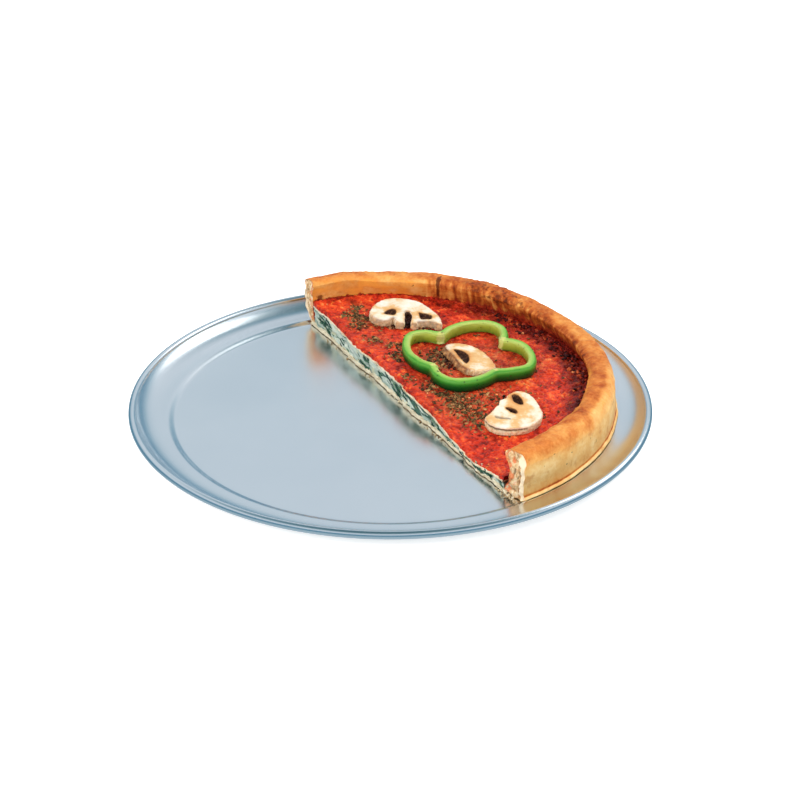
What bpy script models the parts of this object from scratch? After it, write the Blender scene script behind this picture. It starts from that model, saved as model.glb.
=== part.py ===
"""Half of a deep filled pizza on a round aluminium tray.

Metres, +Z up. The origin is the middle of the tray's underside. The pizza's cut runs along X
and faces -Y, and its round side is towards +Y.
"""

import math
import random

import bmesh
import bpy
import numpy as np
from mathutils import Euler, Vector
from mathutils.bvhtree import BVHTree

# Tray: one pressed sheet with a rolled rim
TRAY_DIAMETER = 0.356
SHEET = 0.001
WELL_RADIUS = 0.149
SHELF_RADIUS = 0.1515
SHELF_EDGE = 0.1625
SHELF_RISE = 0.002
BEAD_RADIUS = 0.0022
BEAD_HEIGHT = 0.0100
SIDE_RISE = 0.0075
TRAY_STEPS = 60

# Pizza: a round of dough cut along a line in front of its middle
PIZZA_X = -0.0047
PIZZA_Y = 0.0043
CUT_Y = 0.0102
BASE_RADIUS = 0.1528
LIP = 0.0014
END_TUCK = 0.0080
WALL_LEAN = 0.0016
FOOT_RADIUS = 0.1380
FOOT_LAP = 0.0035
LAYER_RADIUS = 0.1373
GAP = 0.0003
FLOOR_THIN = 0.0021
FLOOR_THICK = 0.0034

# Rim of the crust by angle round the pizza, 0 at the cut's right end and 180 at its left end
CREST = ((0, 0.0338), (12, 0.0338), (40, 0.0325), (75, 0.0318), (97, 0.0317), (112, 0.0338),
         (126, 0.0358), (140, 0.0366), (158, 0.0366), (170, 0.0386), (180, 0.0368))
INNER_TOP = ((0, 0.1350), (12, 0.1330), (150, 0.1330), (168, 0.1365), (180, 0.1375))
INNER_DROP = 0.0024
OUTER_DROP = 0.0080
END_HOLLOW = 0.0045

# Sauce: its level, with a rise at the left end and a dip along the cut at the right end
SAUCE_LEVEL = 0.0176
RISE = (0.0040, -0.150, 0.040, 0.050, 0.060)
MIDDLE_RISE = (0.0014, 0.000, 0.020, 0.028, 0.030)
DIP = (-0.0098, 0.092, 0.004, 0.038, 0.045)
SAUCE_THIN = 0.0010
SAUCE_THICK = 0.0020
DOUGH_SHEET = 0.0008
LUMP = 0.0007

# Pepper ring: radius of its middle line by angle, section and place
RING_X = -0.0100
RING_Y = 0.0670
RING_LOBES = ((-173, 0.0332), (-162, 0.0428), (-150, 0.0474), (-132, 0.0448), (-110, 0.0414),
              (-90, 0.0382), (-74, 0.0360), (-60, 0.0416), (-46, 0.0449), (-30, 0.0432),
              (-12, 0.0384), (3, 0.0354), (20, 0.0412), (33, 0.0468), (55, 0.0444), (80, 0.0392),
              (97, 0.0322), (107, 0.0380), (118, 0.0450), (132, 0.0485), (150, 0.0450), (170, 0.0380))
RING_WALL = 0.0058
RING_HEIGHT = 0.0084
RING_STEPS = 56

# Mushroom slices: name, middle x and y, turn in degrees, thickness, and in millimetres on the
# slice's own axes the outline and the openings at the gills
MUSHROOMS = (
    ("mushroom_1", -0.0905, 0.0640, 41.0, 0.0050,
     ((-25, -16.5), (-21, -21.5), (-15, -24), (-9.6, -23.6), (-7.5, -20.5), (-6.3, -18), (-4, -19),
      (-1.7, -22.5), (1.2, -22.5), (3.3, -21), (1, -13), (-1.5, -7), (-1.2, -3.2), (0.8, -2.5),
      (4, -6.5), (6.3, -12.2), (8, -18.5), (9.4, -19.5), (12, -18.6), (12.6, -15.5), (16.4, -13.4),
      (20.3, -12.1), (24, -12.4), (28, -14.2), (29, -11), (25.7, -4.5), (21.3, 1.2), (16, 6.2),
      (8.7, 12), (0, 16), (-7.2, 16.9), (-14.7, 15.6), (-21.9, 11.5), (-25.6, 5), (-26.7, -3.5)),
     (((-15, -14), (-14.5, -9), (-12, -5.2), (-9.4, -5.2), (-7, -9.5), (-6.8, -13.5), (-8.5, -15),
       (-12.2, -15.6)),
      ((7.6, -1.2), (10.3, -0.7), (14.1, -0.6), (18, -2.2), (19.4, -5.4), (19, -8.3), (16.5, -9.8),
       (13.4, -11), (10.5, -7.5)))),
    ("mushroom_2", -0.0010, 0.0625, -10.0, 0.0050,
     ((-24.9, -9.2), (-27.7, -4.2), (-27.9, 0.8), (-26, 5.6), (-21.5, 10.2), (-13.8, 14.1),
      (-4.4, 15.6), (5.2, 15.7), (12.8, 14.7), (15.8, 11.3), (15.9, 5.5), (14.6, -0.5), (10.6, -5.2),
      (4.4, -7.4), (-3.6, -8.2), (-11.6, -8.6), (-18.2, -9.4)),
     (((-18.2, -4.9), (-17.7, -2), (-14.5, 0.6), (-8.2, 2.1), (-1.5, 0.9), (3.3, -2.6), (2.4, -3.9),
       (-3.1, -4.7), (-11.1, -5)),)),
    ("mushroom_3", 0.0710, 0.0585, -46.0, 0.0056,
     ((-17.8, -9.1), (-21.4, -5.1), (-20.8, 0.5), (-16.9, 6), (-11.1, 10.5), (-5.1, 14.1),
      (-0.7, 16.5), (5.6, 17.1), (11.9, 15.3), (17, 11.8), (20.8, 6), (22.7, -0.2), (23.1, -6.9),
      (21.4, -12.6), (18.1, -16.4), (14.8, -18.6), (11.8, -18.2), (5.4, -16.3), (0.4, -15),
      (-2.2, -13.8), (-6.5, -14.3), (-8.3, -13.1), (-10.5, -10.8), (-14, -11)),
     (((-14.4, -8), (-16.4, -6), (-14.6, -2.9), (-9.7, 0.7), (-6.1, 1.6), (-5.8, -1.3), (-8.3, -5.5)),
      ((0.1, -8.5), (-0.7, -5.7), (0.5, -1.6), (2.5, 0.3), (4.7, -0.1), (4.5, -2.8), (2.4, -6.8)))),
)

SLICE_EDGE = 0.0005

# Herb flakes: middle x and y, half spread and number of each cluster
HERB_CLUSTERS = (
    (-0.123, 0.034, 0.014, 8), (-0.088, 0.022, 0.016, 9), (-0.050, 0.030, 0.012, 6),
    (0.004, 0.020, 0.012, 5), (0.038, 0.030, 0.018, 10), (-0.010, 0.090, 0.010, 3),
    (-0.115, 0.090, 0.018, 6), (0.085, 0.095, 0.020, 5), (-0.030, 0.125, 0.030, 5),
)
FLAKE = (0.0026, 0.0016, 0.0013)
FLAKE_CLEAR = 0.0036


def clear_scene():
    """Remove whatever the scene holds."""
    for item in list(bpy.data.objects):
        bpy.data.objects.remove(item)


def make_collection(name):
    """A collection linked to the scene."""
    group = bpy.data.collections.new(name)
    bpy.context.scene.collection.children.link(group)
    return group


def make_material(name, colour, roughness, metallic=0.0):
    """A plain Principled material."""
    material = bpy.data.materials.new(name)
    material.use_nodes = True
    shader = material.node_tree.nodes["Principled BSDF"]
    shader.inputs["Base Color"].default_value = (*colour, 1.0)
    shader.inputs["Roughness"].default_value = roughness
    shader.inputs["Metallic"].default_value = metallic
    return material


def smooth(value):
    """Ease from 0 to 1 with level ends."""
    value = np.clip(value, 0.0, 1.0)
    return value*value*(3.0 - 2.0*value)


def along(table, at):
    """Read a table of (place, value) pairs with an eased step from each pair to the next."""
    places = np.array([row[0] for row in table], float)
    values = np.array([row[1] for row in table], float)
    at = np.clip(np.asarray(at, float), places[0], places[-1])
    k = np.clip(np.searchsorted(places, at, side="right") - 1, 0, len(places) - 2)
    share = smooth((at - places[k])/(places[k + 1] - places[k]))
    return values[k] + (values[k + 1] - values[k])*share


def ripples(x, y, length, seed):
    """Even relief between about -1 and 1: eight seeded plane waves of about the given length."""
    draw = random.Random(seed)
    total = np.zeros(np.broadcast(x, y).shape)
    for _ in range(8):
        heading = draw.uniform(0.0, 2.0*math.pi)
        pitch = 2.0*math.pi/(length*draw.uniform(0.7, 1.4))
        phase = draw.uniform(0.0, 2.0*math.pi)
        total += np.sin((x*math.cos(heading) + y*math.sin(heading))*pitch + phase)
    return total*0.4


def mound(x, y, size):
    """A smooth mound or dip: height, middle x and y, spread along x and y."""
    height, mid_x, mid_y, wide, deep = size
    return height*np.exp(-0.5*((x - mid_x)/wide)**2 - 0.5*((y - mid_y)/deep)**2)


def sauce_level(x, y):
    """Height of the sauce before its lumps."""
    return SAUCE_LEVEL + mound(x, y, RISE) + mound(x, y, MIDDLE_RISE) + mound(x, y, DIP)


def depth_share(x, y):
    """0 where the pizza is thinnest, at the dip, and 1 where it is thick."""
    return smooth((sauce_level(x, y) - 0.0085)/0.0080)


def underside(x, y):
    """Underside of the crust: level in the tray's well and lifted over the shelf."""
    off_axis = np.hypot(x, y)
    return SHEET + GAP + (SHELF_RISE + GAP)*smooth((off_axis - WELL_RADIUS + 0.005)/0.004)


def floor_top(x, y):
    """Top of the bottom crust under the filling."""
    share = depth_share(x, y)
    return SHEET + GAP + FLOOR_THIN + (FLOOR_THICK - FLOOR_THIN)*share


def sheet_top(x, y):
    """Top of the thin dough sheet that closes the filling."""
    thickness = SAUCE_THIN + (SAUCE_THICK - SAUCE_THIN)*depth_share(x, y)
    return sauce_level(x, y) - thickness - GAP


def ring_line(angle):
    """Radius of the pepper ring's middle line at an angle in degrees, a smooth closed curve."""
    places = np.array([row[0] for row in RING_LOBES], float)
    radii = np.array([row[1] for row in RING_LOBES])
    before = np.roll(places, 1) - np.where(np.arange(len(places)) == 0, 360.0, 0.0)
    after = np.roll(places, -1) + np.where(np.arange(len(places)) == len(places) - 1, 360.0, 0.0)
    slopes = (np.roll(radii, -1) - np.roll(radii, 1))/(after - before)
    turned = (np.asarray(angle, float) - places[0]) % 360.0 + places[0]
    k = np.clip(np.searchsorted(places, turned, side="right") - 1, 0, len(places) - 1)
    n = (k + 1) % len(places)
    span = after[k] - places[k]
    t = (turned - places[k])/span
    rise = t*t*(3.0 - 2.0*t)
    leave = slopes[k]*span*t*(1.0 - t)**2
    arrive = slopes[n]*span*t*t*(t - 1.0)
    return radii[k] + (radii[n] - radii[k])*rise + leave + arrive


def slice_reach(outline):
    """Greatest distance of a slice's outline from its middle, in metres."""
    return 0.001*max(math.hypot(x, y) for x, y in outline)


def cover(x, y):
    """1 on and beside the large toppings, 0 away from them."""
    angle = np.degrees(np.arctan2(y - RING_Y, x - RING_X))
    off_ring = np.abs(np.hypot(x - RING_X, y - RING_Y) - ring_line(angle))
    covered = 1.0 - smooth((off_ring - 0.006)/0.008)
    for _, mid_x, mid_y, _, _, outline, _ in MUSHROOMS:
        off = np.hypot(x - mid_x, y - mid_y) - slice_reach(outline) - GAP
        covered = np.maximum(covered, 1.0 - smooth(off/0.008))
    return covered


def sauce_top(x, y):
    """Height of the sauce with lumps, level under the large toppings."""
    lumps = ripples(x, y, 0.019, 3)*LUMP
    return sauce_level(x, y) + lumps*(1.0 - cover(x, y))


def reach(angle, radius):
    """Distance from the middle of the cut to the pizza's circle of a radius, at an angle."""
    offset = CUT_Y - PIZZA_Y
    return np.sqrt(radius**2 - (offset*np.cos(angle))**2) - offset*np.sin(angle)


def on_arc(angle, radius):
    """Point at an angle from the middle of the cut, on the pizza's circle of a radius."""
    far = reach(angle, radius)
    return PIZZA_X + far*np.cos(angle), CUT_Y + far*np.sin(angle)


def half_round(u, v, radius):
    """Spread the unit square over the half round of a radius, its side v = 0 on the cut."""
    p = 2.0*u - 1.0
    x = p*np.sqrt(1.0 - 0.5*v*v)
    y = v*np.sqrt(1.0 - 0.5*p*p)
    share = np.hypot(x, y)
    arc_x, arc_y = on_arc(np.arctan2(y, x), radius)
    return PIZZA_X + share*(arc_x - PIZZA_X), CUT_Y + share*(arc_y - CUT_Y)


def grid_block(name, cells, shape):
    """Closed block of cells along u, v and w, each from 0 to 1, bent by shape(u, v, w)."""
    mesh = bpy.data.meshes.new(name)
    block = bmesh.new()
    bmesh.ops.create_grid(block, x_segments=cells[0], y_segments=cells[1], size=0.5)
    faces = list(block.faces)
    for level in range(cells[2]):
        grown = bmesh.ops.extrude_face_region(block, geom=faces, use_keep_orig=True)["geom"]
        if level > 0:
            bmesh.ops.delete(block, geom=faces, context="FACES")
        points = [item for item in grown if isinstance(item, bmesh.types.BMVert)]
        faces = [item for item in grown if isinstance(item, bmesh.types.BMFace)]
        bmesh.ops.translate(block, verts=points, vec=(0.0, 0.0, 1.0/cells[2]))
    bmesh.ops.recalc_face_normals(block, faces=block.faces)
    block.to_mesh(mesh)
    block.free()
    flat = np.empty(len(mesh.vertices)*3)
    mesh.vertices.foreach_get("co", flat)
    u, v, w = flat.reshape(-1, 3).T
    placed = np.stack(shape(u + 0.5, v + 0.5, w), axis=1)
    mesh.vertices.foreach_set("co", placed.ravel())
    mesh.update()
    return mesh


def weld(mesh):
    """Join the loose caps of a mesh to its sides and turn its faces outwards."""
    shell = bmesh.new()
    shell.from_mesh(mesh)
    bmesh.ops.remove_doubles(shell, verts=shell.verts, dist=0.00002)
    bmesh.ops.recalc_face_normals(shell, faces=shell.faces)
    shell.to_mesh(mesh)
    shell.free()


def add_piece(name, mesh, material, group, sharp=math.radians(50)):
    """An object of a mesh, smooth shaded but for its sharp edges."""
    mesh.materials.clear()
    mesh.materials.append(material)
    mesh.shade_smooth()
    mesh.set_sharp_from_angle(angle=sharp)
    piece = bpy.data.objects.new(name, mesh)
    group.objects.link(piece)
    return piece


def evaluated_mesh(item):
    """A new mesh of an object with its modifiers or curve settings applied."""
    graph = bpy.context.evaluated_depsgraph_get()
    graph.update()
    return bpy.data.meshes.new_from_object(item.evaluated_get(graph))


def drop_scraps(mesh):
    """Keep only the shell of a mesh that has the most points."""
    shell = bmesh.new()
    shell.from_mesh(mesh)
    shell.verts.ensure_lookup_table()
    unseen = set(shell.verts)
    shells = []
    while unseen:
        reached = [unseen.pop()]
        for point in reached:
            for edge in point.link_edges:
                other = edge.other_vert(point)
                if other in unseen:
                    unseen.remove(other)
                    reached.append(other)
        shells.append(reached)
    shells.sort(key=len)
    loose = [point for part in shells[:-1] for point in part]
    bmesh.ops.delete(shell, geom=loose, context="VERTS")
    shell.to_mesh(mesh)
    shell.free()


def join_group(base, group, solver="EXACT"):
    """Union the closed meshes of a collection with an object's, then remove them."""
    join = base.modifiers.new("join", "BOOLEAN")
    join.operation = "UNION"
    join.solver = solver
    join.operand_type = "COLLECTION"
    join.collection = group
    joined = evaluated_mesh(base)
    base.modifiers.remove(join)
    drop_scraps(joined)
    base.data = joined
    for item in list(group.objects):
        bpy.data.objects.remove(item)
    bpy.data.collections.remove(group)


def tray_profile():
    """Middle line of the tray's sheet from the axis out, up the side and round the bead."""
    low = 0.5*SHEET
    shelf = low + SHELF_RISE
    bead_x = 0.5*TRAY_DIAMETER - 0.5*SHEET - BEAD_RADIUS
    points = [(0.0, low), (WELL_RADIUS - 0.0006, low), (WELL_RADIUS + 0.0004, low + 0.0004)]
    points += [(SHELF_RADIUS - 0.0010, shelf - 0.0004), (SHELF_RADIUS, shelf), (SHELF_EDGE, shelf)]
    side = bead_x - BEAD_RADIUS - SHELF_EDGE
    for k in range(1, 4):
        lean = math.radians(26*k)
        points.append((SHELF_EDGE + side*math.sin(lean), shelf + SIDE_RISE*(1.0 - math.cos(lean))))
    for k in range(8):
        turn = math.radians(180 - 42*k)
        points.append((bead_x + BEAD_RADIUS*math.cos(turn), BEAD_HEIGHT + BEAD_RADIUS*math.sin(turn)))
    return points


def make_tray(group):
    """The tray: its sheet's middle line turned round Z, then thickened to both sides."""
    points = tray_profile()
    mesh = bpy.data.meshes.new("tray")
    edges = [(k, k + 1) for k in range(len(points) - 1)]
    mesh.from_pydata([(x, 0.0, z) for x, z in points], edges, [])
    material = make_material("satin aluminium", (0.62, 0.68, 0.72), 0.28, 1.0)
    tray = bpy.data.objects.new("tray", mesh)
    group.objects.link(tray)
    turn = tray.modifiers.new("turn", "SCREW")
    turn.steps = TRAY_STEPS
    turn.render_steps = TRAY_STEPS
    turn.use_merge_vertices = True
    turn.merge_threshold = 0.00001
    thicken = tray.modifiers.new("sheet", "SOLIDIFY")
    thicken.thickness = SHEET
    thicken.offset = 0.0
    turned = evaluated_mesh(tray)
    bpy.data.objects.remove(tray)
    weld(turned)
    add_piece("tray", turned, material, group, math.radians(35))


def wall_shape(u, v, w):
    """The rim: u along the arc, v from its inner to its outer face, w from foot to crest."""
    degrees = 180.0*u
    angle = np.radians(degrees)
    v = 0.5 - 0.5*np.cos(math.pi*v)
    w = np.interp(w, (0.0, 0.2, 0.4, 0.6, 0.8, 1.0), (0.0, 0.06, 0.17, 0.62, 0.80, 1.0))
    crest = along(CREST, degrees)
    left_end = smooth((degrees - 160.0)/10.0)
    lip = LIP*(1.0 - smooth(w/0.14)) - (LIP + END_TUCK)*left_end*(1.0 - smooth(w/0.40))
    arc = angle*BASE_RADIUS
    hollow = END_HOLLOW*np.exp(-arc/0.015)*smooth((w - 0.12)/0.30)*smooth((0.95 - w)/0.25)
    inner = FOOT_RADIUS + (along(INNER_TOP, degrees) - FOOT_RADIUS)*smooth((w - 0.62)/0.38) + hollow
    outer = BASE_RADIUS - WALL_LEAN*w + lip
    radius = inner + v*(outer - inner)
    inner_drop = INNER_DROP*np.clip(1.0 - v/0.3, 0.0, 1.0)**2
    outer_drop = OUTER_DROP*np.clip(2.0*v - 1.0, 0.0, 1.0)**4
    x, y = on_arc(angle, radius)
    foot = underside(x, y) + 0.0002
    z = foot + (crest - inner_drop - outer_drop - foot)*w
    z = z + ripples(arc, radius, 0.026, 11)*0.0004*w
    near = np.exp(-arc/0.012)
    set_back = near*(0.0005 + 0.0050*v**1.5 + 0.0026*w*w)
    torn = np.exp(-np.minimum(arc, math.pi*BASE_RADIUS - arc)/0.006)
    crags = torn*ripples(radius*3.0, z*2.0, 0.016, 13)*0.0007
    return x, y + set_back + crags, z


def floor_shape(u, v, w):
    """The bottom crust inside the rim."""
    x, y = half_round(u, v, FOOT_RADIUS + FOOT_LAP)
    low = underside(x, y)
    z = low + (floor_top(x, y) - low)*w
    edge = (1.0 - v)**8
    return x, y - edge*(0.0002 + 0.0006*ripples(x, z, 0.020, 21)), z


def make_crust(group):
    """Crust: the bottom and the rim, joined into one solid."""
    material = make_material("baked dough", (0.80, 0.47, 0.20), 0.62)
    bottom = grid_block("crust", (24, 6, 1), floor_shape)
    crust = add_piece("crust", bottom, material, group)
    rims = make_collection("crust rim")
    rim = grid_block("rim", (54, 6, 5), wall_shape)
    add_piece("rim", rim, material, rims)
    join_group(crust, rims)


def layer_shape(bottom, top, radius, ragged, seed):
    """A layer of the half round between two heights, its cut edge ragged by the given depth."""
    def shape(u, v, w):
        x, y = half_round(u, v, radius)
        low = bottom(x, y)
        z = low + (top(x, y) - low)*w
        edge = (1.0 - v)**8
        tear = ragged*(0.5 + ripples(x, z*1.5, 0.015, seed))
        return x, y + edge*tear, z
    return shape


def make_filling(group):
    """Spinach and cheese filling between the crust and the dough sheet."""
    material = make_material("spinach and cheese", (0.45, 0.50, 0.42), 0.55)
    shape = layer_shape(lambda x, y: floor_top(x, y) + GAP,
                        lambda x, y: sheet_top(x, y) - DOUGH_SHEET - GAP,
                        LAYER_RADIUS, 0.0010, 31)
    add_piece("filling", grid_block("filling", (34, 6, 3), shape), material, group)


def make_sheet(group):
    """Thin sheet of dough over the filling."""
    material = make_material("pale dough", (0.86, 0.76, 0.58), 0.60)
    shape = layer_shape(lambda x, y: sheet_top(x, y) - DOUGH_SHEET, sheet_top,
                        LAYER_RADIUS, 0.0006, 32)
    add_piece("top_dough", grid_block("top_dough", (30, 6, 1), shape), material, group)


def clear_of_toppings(x, y, margin):
    """Whether a place on the sauce is clear of the mushrooms and the pepper ring."""
    angle = math.degrees(math.atan2(y - RING_Y, x - RING_X))
    off_ring = abs(math.hypot(x - RING_X, y - RING_Y) - float(ring_line(angle)))
    if off_ring < 0.5*RING_WALL + margin:
        return False
    for _, mid_x, mid_y, _, _, outline, _ in MUSHROOMS:
        if math.hypot(x - mid_x, y - mid_y) < slice_reach(outline) + margin:
            return False
    return y > CUT_Y + margin and math.hypot(x - PIZZA_X, y - PIZZA_Y) < FOOT_RADIUS - 2.0*margin


def surface_tree(mesh):
    """A search tree of a mesh's faces."""
    shell = bmesh.new()
    shell.from_mesh(mesh)
    tree = BVHTree.FromBMesh(shell)
    shell.free()
    return tree


def make_flakes(group, sauce):
    """Dried herb flakes in clusters on the sauce, each a flattened ball of twenty faces."""
    draw = random.Random(8)
    tree = surface_tree(sauce.data)
    for mid_x, mid_y, spread, count in HERB_CLUSTERS:
        placed = 0
        while placed < count:
            x = draw.gauss(mid_x, 0.5*spread)
            y = draw.gauss(mid_y, 0.5*spread)
            if not clear_of_toppings(x, y, FLAKE_CLEAR):
                continue
            placed += 1
            flake = bmesh.new()
            bmesh.ops.create_icosphere(flake, subdivisions=1, radius=1.0)
            mesh = bpy.data.meshes.new("flake")
            flake.to_mesh(mesh)
            flake.free()
            piece = bpy.data.objects.new("flake", mesh)
            size = draw.uniform(0.75, 1.25)
            piece.scale = [0.5*edge*size*draw.uniform(0.8, 1.2) for edge in FLAKE]
            piece.rotation_euler = (draw.uniform(-0.5, 0.5), draw.uniform(-0.5, 0.5), draw.uniform(0, 6.28))
            spot = tree.ray_cast(Vector((x, y, 0.1)), Vector((0.0, 0.0, -1.0)))[0]
            piece.location = spot
            group.objects.link(piece)


def make_sauce(group):
    """Tomato sauce with the herb flakes fused to it."""
    material = make_material("tomato sauce", (0.62, 0.07, 0.03), 0.35)
    shape = layer_shape(lambda x, y: sheet_top(x, y) + GAP, sauce_top, LAYER_RADIUS, 0.0012, 33)
    sauce = add_piece("sauce", grid_block("sauce", (28, 12, 1), shape), material, group)
    flakes = make_collection("herb flakes")
    make_flakes(flakes, sauce)
    join_group(sauce, flakes, "MANIFOLD")


def curve_object(name, points, closed=True):
    """A curve object of one straight-sided spline."""
    curve = bpy.data.curves.new(name, "CURVE")
    curve.dimensions = "3D"
    spline = curve.splines.new("POLY")
    spline.points.add(len(points) - 1)
    for place, point in zip(spline.points, points):
        place.co = (*point, 1.0)
    spline.use_cyclic_u = closed
    return bpy.data.objects.new(name, curve)


def make_pepper_ring(group):
    """A cut ring of green pepper: a rounded upright section swept round the lobed line."""
    material = make_material("green pepper", (0.16, 0.36, 0.05), 0.35)
    half_wall = 0.5*RING_WALL
    half_height = 0.5*RING_HEIGHT
    section = []
    for k in range(8):
        turn = 2.0*math.pi*(k + 0.5)/8
        across = math.copysign(abs(math.cos(turn))**0.55, math.cos(turn))
        up = math.copysign(abs(math.sin(turn))**0.40, math.sin(turn))
        section.append((half_wall*across, half_height*up, 0.0))
    profile = curve_object("pepper section", section)
    line = []
    for k in range(RING_STEPS):
        degrees = 360.0*k/RING_STEPS - 178.0
        radius = float(ring_line(degrees))
        x = RING_X + radius*math.cos(math.radians(degrees))
        y = RING_Y + radius*math.sin(math.radians(degrees))
        z = float(sauce_level(x, y)) + 2.0*GAP + half_height
        line.append((x, y, z))
    ring = curve_object("pepper_ring", line)
    ring.data.twist_mode = "Z_UP"
    ring.data.bevel_mode = "OBJECT"
    ring.data.bevel_object = profile
    group.objects.link(profile)
    group.objects.link(ring)
    mesh = evaluated_mesh(ring)
    bpy.data.objects.remove(ring)
    bpy.data.objects.remove(profile)
    mesh.name = "pepper_ring"
    weld(mesh)
    add_piece("pepper_ring", mesh, material, group)


def lay_on_sauce(piece, mid_x, mid_y, span, turn):
    """Turn a flat piece about Z, tilt it to the sauce's slope over a span and rest it on top."""
    rise_x = float(sauce_level(mid_x + span, mid_y) - sauce_level(mid_x - span, mid_y))
    rise_y = float(sauce_level(mid_x, mid_y + span) - sauce_level(mid_x, mid_y - span))
    tilt = Euler((math.atan2(rise_y, 2.0*span), -math.atan2(rise_x, 2.0*span), turn), "ZYX")
    flat = np.empty(len(piece.data.vertices)*3)
    piece.data.vertices.foreach_get("co", flat)
    points = flat.reshape(-1, 3) @ np.array(tilt.to_matrix()).T
    sunk = sauce_level(points[:, 0] + mid_x, points[:, 1] + mid_y) - points[:, 2]
    piece.rotation_mode = "ZYX"
    piece.rotation_euler = tilt
    piece.location = (mid_x, mid_y, float(sunk.max()) + 2.0*GAP)


def make_mushroom(group, size, material):
    """One mushroom slice: a flat outline with gill openings, thickened, lying on the sauce."""
    name, mid_x, mid_y, turn, thickness, outline, openings = size
    curve = bpy.data.curves.new(name, "CURVE")
    curve.dimensions = "2D"
    curve.fill_mode = "BOTH"
    curve.extrude = 0.5*thickness - SLICE_EDGE
    curve.bevel_depth = SLICE_EDGE
    curve.bevel_resolution = 0
    curve.offset = -SLICE_EDGE
    for points in (outline, *openings):
        spline = curve.splines.new("POLY")
        spline.points.add(len(points) - 1)
        for place, point in zip(spline.points, points):
            place.co = (0.001*point[0], 0.001*point[1], 0.0, 1.0)
        spline.use_cyclic_u = True
    flat = bpy.data.objects.new(name, curve)
    group.objects.link(flat)
    mesh = evaluated_mesh(flat)
    bpy.data.objects.remove(flat)
    weld(mesh)
    piece = add_piece(name, mesh, material, group, math.radians(40))
    lay_on_sauce(piece, mid_x, mid_y, 0.8*slice_reach(outline), math.radians(turn))


def main():
    """Build the tray and the half pizza on it."""
    clear_scene()
    group = make_collection("half pizza on tray")
    make_tray(group)
    make_crust(group)
    make_filling(group)
    make_sheet(group)
    make_sauce(group)
    make_pepper_ring(group)
    material = make_material("mushroom", (0.85, 0.74, 0.58), 0.55)
    for size in MUSHROOMS:
        make_mushroom(group, size, material)


main()
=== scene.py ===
import math

import bpy
import numpy as np
from mathutils import Matrix, Vector


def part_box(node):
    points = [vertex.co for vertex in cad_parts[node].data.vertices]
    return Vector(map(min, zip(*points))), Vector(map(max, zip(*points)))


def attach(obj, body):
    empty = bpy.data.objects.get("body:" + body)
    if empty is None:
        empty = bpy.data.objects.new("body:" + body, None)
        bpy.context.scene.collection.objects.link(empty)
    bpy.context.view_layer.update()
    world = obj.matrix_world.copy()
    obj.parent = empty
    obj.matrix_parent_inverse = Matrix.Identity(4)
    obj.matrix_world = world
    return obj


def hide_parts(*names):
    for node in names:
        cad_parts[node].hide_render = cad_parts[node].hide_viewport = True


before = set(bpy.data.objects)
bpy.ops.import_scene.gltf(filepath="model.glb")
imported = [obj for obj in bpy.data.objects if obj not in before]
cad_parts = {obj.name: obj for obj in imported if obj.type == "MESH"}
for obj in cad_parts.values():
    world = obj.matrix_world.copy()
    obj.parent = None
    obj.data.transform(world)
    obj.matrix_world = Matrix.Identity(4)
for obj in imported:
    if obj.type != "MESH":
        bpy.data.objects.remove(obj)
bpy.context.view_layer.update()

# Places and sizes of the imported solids, in metres
TRAY_RADIUS = 0.178
SHEET = 0.001
SHELF_RISE = 0.002
STEP_START = 0.1470
STEP_END = 0.1525
BEAD_RADIUS = 0.0022
BEAD_HEIGHT = 0.0100
PIZZA_X = -0.0047
PIZZA_Y = 0.0043
CUT_Y = 0.0102
BASE_RADIUS = 0.1528
LIP = 0.0014
END_TUCK = 0.0080
WALL_LEAN = 0.0016
FOOT_RADIUS = 0.1380
LAYER_RADIUS = 0.1373
GAP = 0.0003
FLOOR_THIN = 0.0021
FLOOR_THICK = 0.0034
SAUCE_LEVEL = 0.0176
RISE = (0.0040, -0.150, 0.040, 0.050, 0.060)
MIDDLE_RISE = (0.0014, 0.000, 0.020, 0.028, 0.030)
DIP = (-0.0098, 0.092, 0.004, 0.038, 0.045)
SAUCE_THIN = 0.0010
SAUCE_THICK = 0.0020
DOUGH_SHEET = 0.0008
CREST = ((0, 0.0338), (12, 0.0338), (40, 0.0325), (75, 0.0318), (97, 0.0317), (112, 0.0338),
         (126, 0.0358), (140, 0.0366), (158, 0.0366), (170, 0.0386), (180, 0.0368))
INNER_TOP = ((0, 0.1350), (12, 0.1330), (150, 0.1330), (168, 0.1365), (180, 0.1375))
INNER_DROP = 0.0024
OUTER_DROP = 0.0080
END_HOLLOW = 0.0045
RING_X = -0.0100
RING_Y = 0.0670
RING_LOBES = ((-173, 0.0332), (-162, 0.0428), (-150, 0.0474), (-132, 0.0448), (-110, 0.0414),
              (-90, 0.0382), (-74, 0.0360), (-60, 0.0416), (-46, 0.0449), (-30, 0.0432),
              (-12, 0.0384), (3, 0.0354), (20, 0.0412), (33, 0.0468), (55, 0.0444), (80, 0.0392),
              (97, 0.0322), (107, 0.0380), (118, 0.0450), (132, 0.0485), (150, 0.0450), (170, 0.0380))
RING_NOTCHES = (-173, -74, 3, 97)
RING_WALL = 0.0058
RING_HEIGHT = 0.0084

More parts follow.
